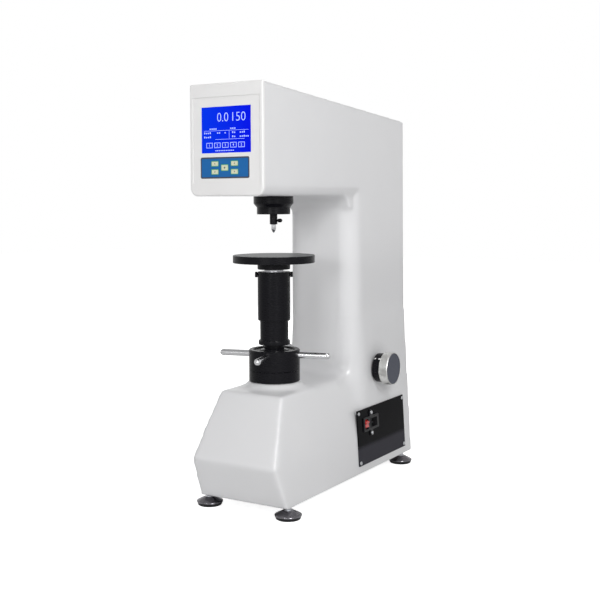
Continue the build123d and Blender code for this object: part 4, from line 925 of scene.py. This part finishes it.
# %% Spindle cover, nose and indenter
cover_outline = [
    (18, 556.2), (36.0, 556.2), (36.5, 555.7), (36.5, 543.4), (36.1, 542.7), (30.7, 536.4), (30.5, 535.8),
    (30.5, 524.1), (29.9, 523.4), (8.1, 523.4), (7.6, 523.9), (7.6, 526.4), (18, 526.4), (18, 556.2),
]
nose_cover = turned("nose_cover", cover_outline, steps=128)
finished(smooth(nose_cover, 30), black_oxide, "frame", "black_steel", "spindle_cover")
indenter_outline = [
    (0, 491.5), (2.2, 491.5), (4.0, 495.1), (4.3, 496.0), (4.3, 504.4), (3.9, 504.99), (3.175, 504.99),
    (3.175, 522.7), (0, 522.7),
]
indenter = turned("indenter_body", indenter_outline, steps=64)
finished(smooth(indenter, 30), polished_steel, "spindle_unit", "polished_steel", "indenter")
tip_outline = [(0, 489.4), (0.3, 489.4), (0.5, 489.55), (2.2, 491.5), (0, 491.5)]
tip = turned("indenter_point", tip_outline, steps=48)
finished(smooth(tip, 30), diamond, "spindle_unit", "polished_steel", "indenter_tip")
grip_outline = [
    (0, 3.5), (2, 3.5), (2, 9), (2.4, 9.2), (3.2, 10.2), (3.5, 11.8), (3.5, 14.6), (3.2, 16.2), (2.4, 17.4),
    (1.2, 17.9), (0, 18),
]
grip = turned("clamp_grip", grip_outline, at(0, 0, 512), 40, "X")
finished(smooth(grip, 40), black_oxide, "clamp_screw", "black_steel", "indenter_screw")

# %% [markdown]
# The force knob has three turned pieces: a black hub with two pale index marks, a silver ring with straight
# knurling, and a slate face with turning marks. Every second row of corners on the ring is drawn in, which
# leaves the teeth of the knurling.

# %% Force knob
base_outline = [
    (8, 85.1), (26.2, 85.1), (28.2, 86.2), (28.6, 87.2), (28.6, 101.4), (28, 101.99), (8, 101.99), (8, 85.1),
]
knob_base = turned("knob_base", base_outline, knob_axis, 96, "X")
finished(smooth(knob_base, 30), black_oxide, "selector", "black_steel", "knob_hub")
rim_outline = [
    (26, 102), (31.0, 102), (31.7, 102.7), (31.7, 103.6), (31.7, 117.4), (31.7, 118.4), (31.4, 119.3),
    (30.9, 120), (30.5, 119.7), (30.3, 119), (30.3, 116), (26, 116), (26, 102),
]
TEETH = 120
ring = turned("knob_rim", rim_outline, knob_axis, 2 * TEETH, "X")


def in_gap(place, normal):
    """Whether a corner of the ring lies at the bottom of a groove of the knurling."""
    along, up = place.y - KNOB_ALONG, place.z - KNOB_UP
    on_rim = 103 < place.x < 118 and along ** 2 + up ** 2 > 31.5 ** 2
    return on_rim and round(atan2(up, along) / pi * TEETH) % 2 == 0


choose(ring, in_gap)
bpy.ops.transform.resize(value=(1, 0.984, 0.984), center_override=knob_axis)
done()
finished(smooth(ring, 30), knob_silver, "selector", "polished_steel", "knob_ring")
face_outline = [
    (0, 102), (25.98, 102), (25.98, 116.02), (30.2, 116.02), (30.2, 118.9), (29.7, 119.5), (28.8, 119.4),
    (28.2, 119.1), (0, 119.1),
]
knob_face = turned("knob_face", face_outline, knob_axis, 128, "X")
finished(smooth(knob_face, 24), slate_face, "selector", "black_steel", "knob_cap")
marks = []
for start in (87.6, 96.6):
    low = (start, KNOB_ALONG - 1.5, KNOB_UP + 28.2)
    high = (start + 3.4, KNOB_ALONG + 1.5, KNOB_UP + 28.75)
    marks.append(rotated(block("mark", low, high), radians(-45), "X", knob_axis))
finished(joined("index_marks", marks), fascia_white, "selector", "white_panel")

# %% [markdown]
# A glossy black plate closes the side opening. It carries the power inlet, its red rocker and six screws, and
# it leans with the side, so its pieces are drawn flat and then laid on.

# %% Side panel
INLET_ALONG, INLET_UP = 210, up_side(111.5)
SOCKET_ALONG = INLET_ALONG + 10
ROCKER_ALONG = INLET_ALONG - 20
PANEL_TOP = 2.0
FLANGE_TOP = PANEL_TOP + 2.4


def flat(name, along, up, half_along, half_up, bottom, top, corner):
    """A plate drawn flat as (along, up, out), with rounded corners."""
    piece = block(name, (along - half_along, up - half_up, bottom), (along + half_along, up + half_up, top))
    if corner:
        rounded(piece, corner, 5, lambda p, d: abs(d.z) > 0.9)
    return piece


def plug(name, along, up, outline, steps):
    """A turned piece standing out of the side panel."""
    return turned(name, outline, at(along, up, 0), steps)


panel_along = 258
panel_up = (PANEL_LOW + PANEL_HIGH) / 2
panel_half = (PANEL_HIGH - PANEL_LOW) / 2
panel = flat("panel_plate", panel_along, panel_up, 102, panel_half, 0, PANEL_TOP, 1.0)
cut(panel, flat("inlet_hole", INLET_ALONG, INLET_UP, 28.2, 10.7, -1, 5, 0))
corners = [(panel_along + i * 96, panel_up + j * (panel_half - 6)) for i in (-1, 1) for j in (-1, 1)]
ears = [(INLET_ALONG, INLET_UP + j * 20) for j in (-1, 1)]
for along, up in corners + ears:
    cut(panel, plug("screw_hole", along, up, rod(2.05, -1, 5), 24))
softened(panel, 0.3, 40, 2)
finished(smooth(lean_out(panel), 30), panel_black, "frame", "black_steel", "side_panel")

# %% Inlet
flange = flat("inlet_flange", INLET_ALONG, INLET_UP, 31, 13.5, PANEL_TOP, FLANGE_TOP, 2.0)
combined(flange, flat("ear_bridge", INLET_ALONG, INLET_UP, 5.5, 25.3, PANEL_TOP, FLANGE_TOP, 5.2), "UNION")
combined(flange, flat("inlet_body", INLET_ALONG, INLET_UP, 28, 10.5, -28, PANEL_TOP + 0.5, 0), "UNION")
cut(flange, flat("rocker_pocket", ROCKER_ALONG, INLET_UP, 6.8, 10.1, FLANGE_TOP - 12, 8, 0))
cut(flange, flat("socket_mouth", SOCKET_ALONG, INLET_UP, 12.5, 8.5, FLANGE_TOP - 16, 8, 2.5))
for along, up in ears:
    cut(flange, plug("ear_hole", along, up, rod(2.05, 0, 6), 24))
softened(flange, 0.5, 40, 2)
rim = flat("socket_rim", SOCKET_ALONG, INLET_UP, 14.2, 10.2, PANEL_TOP + 2.3, PANEL_TOP + 3.2, 3.4)
cut(rim, flat("socket_inside", SOCKET_ALONG, INLET_UP, 12.5, 8.5, PANEL_TOP, 8, 2.5))
blades = [flat("blade", SOCKET_ALONG + x, INLET_UP + y, 1, 2, FLANGE_TOP - 16, FLANGE_TOP - 6, 0.4)
          for x, y in ((-7, -3), (7, -3), (0, 3))]
inlet = joined("inlet", [flange, rim])
finished(smooth(lean_out(inlet), 32), black_plastic, "frame", "black_plastic", "power_inlet")
finished(smooth(lean_out(joined("inlet_blades", blades)), 32), zinc, "frame", "zinc")

# %% Panel screws
screws = []
for number, (along, up) in enumerate(corners + ears):
    seat = PANEL_TOP if number < len(corners) else FLANGE_TOP
    screw_outline = [
        (0, seat - 6), (2, seat - 6), (2, seat), (3.5, seat), (3.6, seat + 0.9), (3.0, seat + 1.7),
        (1.8, seat + 2.2), (0, seat + 2.2),
    ]
    screw_head = plug("panel_screw", along, up, screw_outline, 32)
    low, high = seat + 1.1, seat + 4
    cross = block("cross", (along - 2.2, up - 0.4, low), (along + 2.2, up + 0.4, high))
    combined(cross, block("bar", (along - 0.4, up - 2.2, low), (along + 0.4, up + 2.2, high)), "UNION")
    rotated(cross, radians(25 + 70 * number), "Z", at(along, up, 0))
    screws.append(cut(screw_head, cross))
finished(smooth(lean_out(joined("panel_screw_heads", screws)), 32), zinc, "frame", "zinc", "panel_screws")

# %% Rocker
pivot = FLANGE_TOP - 4.5
rocker = flat("rocker", ROCKER_ALONG, INLET_UP, 6.5, 9.6, pivot - 3, pivot + 7.0, 0)
choose(rocker, lambda p, n: True)
bpy.ops.mesh.select_mode(type="EDGE")
bpy.ops.mesh.bisect(plane_co=at(ROCKER_ALONG, INLET_UP, 0), plane_no=(0, 1, 0))
done()
choose(rocker, lambda p, n: p.z > pivot + 2 and abs(p.y - INLET_UP) < 0.5)
bpy.ops.transform.translate(value=(0, 0, -2.4 * MM))
done()
for end in (-1, 1):
    choose(rocker, lambda p, n: p.z > pivot + 2 and (p.y - INLET_UP) * end > 5)
    bpy.ops.transform.translate(value=(0, -end * 4.9 * MM, 0))
    done()
rotated(rocker, radians(-8), "X", at(ROCKER_ALONG, INLET_UP, pivot))
softened(rocker, 0.7, 30, 3)
finished(smooth(lean_out(rocker), 40), red_plastic, "rocker", "red_plastic", "power_rocker")

# %% [markdown]
# Four levelling feet: a spun steel disc with a rolled rim, a small collar and a threaded stud. One foot is
# made and the others are copies, each with a mesh of its own. The underside is a black pad, the stud is zinc.

# %% Feet
thread = []
for ridge in range(9):
    height = 16.2 + 1.5 * ridge
    thread += [(5.35, height), (5.9, height + 0.75)]
disc = [
    (0, 0), (20.4, 0), (21.3, 0.5), (23.6, 5.6), (24.0, 6.9), (23.7, 7.6), (22.9, 8.0), (17.0, 11.2),
    (11.0, 14.0), (9.0, 15.2), (8.6, 15.5), (5.35, 15.5),
]
FEET = {
    "foot_front_left": (-FOOT_SIDE, FOOT_ALONG[0]),
    "foot_front_right": (FOOT_SIDE, FOOT_ALONG[0]),
    "foot_rear_left": (-FOOT_SIDE, FOOT_ALONG[1]),
    "foot_rear_right": (FOOT_SIDE, FOOT_ALONG[1]),
}
PAD_TOP, STUD_LOW = 4.6 * MM, 15.3 * MM
foot = turned("foot", disc + thread + [(5.3, 30), (5.3, 35.6), (0, 36.2)], steps=64)
for name, (x, y) in FEET.items():
    copy = foot.copy()
    copy.data = foot.data.copy()
    copy.name = copy.data.name = name + "_turned"
    bpy.context.scene.collection.objects.link(copy)
    moved(copy, Matrix.Translation(Vector((x, y, 0)) * MM))
    finished(smooth(copy, 24), dark_plating, name + "_screw", "foot_metal", name)
    copy.data.materials.append(black_plastic)
    copy.data.materials.append(zinc)
    for face in copy.data.polygons:
        if face.center.z < PAD_TOP:
            face.material_index = 1
        if face.center.z > STUD_LOW:
            face.material_index = 2
bpy.data.objects.remove(foot)

# %% [markdown]
# What hides inside keeps its CAD shape and only needs its metal. The covers on roof and back keep theirs too,
# in nearly the white of the casting, and so does the zinc plate underneath.

# %% Finishes of the solids that stay
STAYS = {
    "rear_cover": cover_white, "top_cover": cover_white, "bottom_plate": zinc, "cover_screws": zinc,
    "display_module": module_grey, "thrust_bearing": ground_steel, "guide_bush": bronze,
    "guide_key": ground_steel, "lift_nut": black_oxide, "elevating_screw": turned_steel,
    "spindle_bush": bronze, "spindle": black_oxide, "balance_spring": polished_steel,
    "lever_bracket": cast_weight, "lever_pin": ground_steel, "load_lever": ground_steel,
    "weight_hanger": turned_steel, "weight_lower": cast_weight, "weight_middle": cast_weight,
    "weight_upper": cast_weight, "loading_cam": ground_steel, "loading_motor": module_grey,
    "displacement_sensor": module_grey, "control_board": board_green, "power_supply": module_grey,
    "selector_bush": bronze, "selector_shaft": turned_steel, "selector_cam": ground_steel,
}
for name, finish in STAYS.items():
    nodes[name].data.materials.clear()
    nodes[name].data.materials.append(finish)
print("solids that stay:", len(STAYS))

# %% [markdown]
# The floor and the sky are plain white for the camera, while they light the tester only softly. In
# reflections the sky is white at the horizon and dims upward, as the walls of a studio do. The floor keeps the
# shadow, because for the camera it is partly a surface and partly a glow.

# %% Floor and sky
fresh()
bpy.ops.mesh.primitive_plane_add(size=14, location=(0, 0, 0))
ground = settled("ground")
pale = Finish("pale_floor", Roughness=0.9, Specular_IOR_Level=0.0)
pale.set("Base Color", pale.colour(pale.noise(2.0), (0.80, 0.80, 0.80), (0.82, 0.82, 0.82)))
seen = pale.node("ShaderNodeLightPath")
glow = pale.node("ShaderNodeEmission", None, {"Color": (1, 1, 1, 1), "Strength": 0.85})
shine = pale.node("ShaderNodeAddShader", None, {0: Number(pale, pale.shader.outputs[0]), 1: glow})
kept = pale.node("ShaderNodeMixShader", None, {0: seen, 1: Number(pale, pale.shader.outputs[0]), 2: shine})
pale.tree.links.new(kept.socket, pale.tree.nodes["Material Output"].inputs["Surface"])
ground.data.materials.append(pale.material)
ground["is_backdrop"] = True

sky = bpy.data.worlds.new("sky")
bpy.context.scene.world = sky
sky.use_nodes = True
air = Graph(sky.node_tree)
level = air.node("ShaderNodeSeparateXYZ", None, {"Vector": air.node("ShaderNodeTexCoord")}, out=2)
studio = air.node("ShaderNodeMapRange", None, {"Value": level.size(), "From Min": 0.12, "From Max": 0.6,
                                                "To Min": 1.0, "To Max": 0.45})
to_camera = air.node("ShaderNodeLightPath", out="Is Camera Ray")
shiny = air.node("ShaderNodeLightPath", out="Is Glossy Ray")
through = air.node("ShaderNodeLightPath", out="Is Transmission Ray")
strength = to_camera.larger(shiny.larger(through) * studio).larger(0.26)
air.tree.links.new(strength.socket, air.tree.nodes["Background"].inputs["Strength"])
air.tree.nodes["Background"].inputs["Color"].default_value = (1, 1, 1, 1)

# %% [markdown]
# Last, the size of the dressed tester is printed.

# %% Size and the end
low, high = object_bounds()
print("dressed size:", tuple(round(v, 4) for v in high - low))
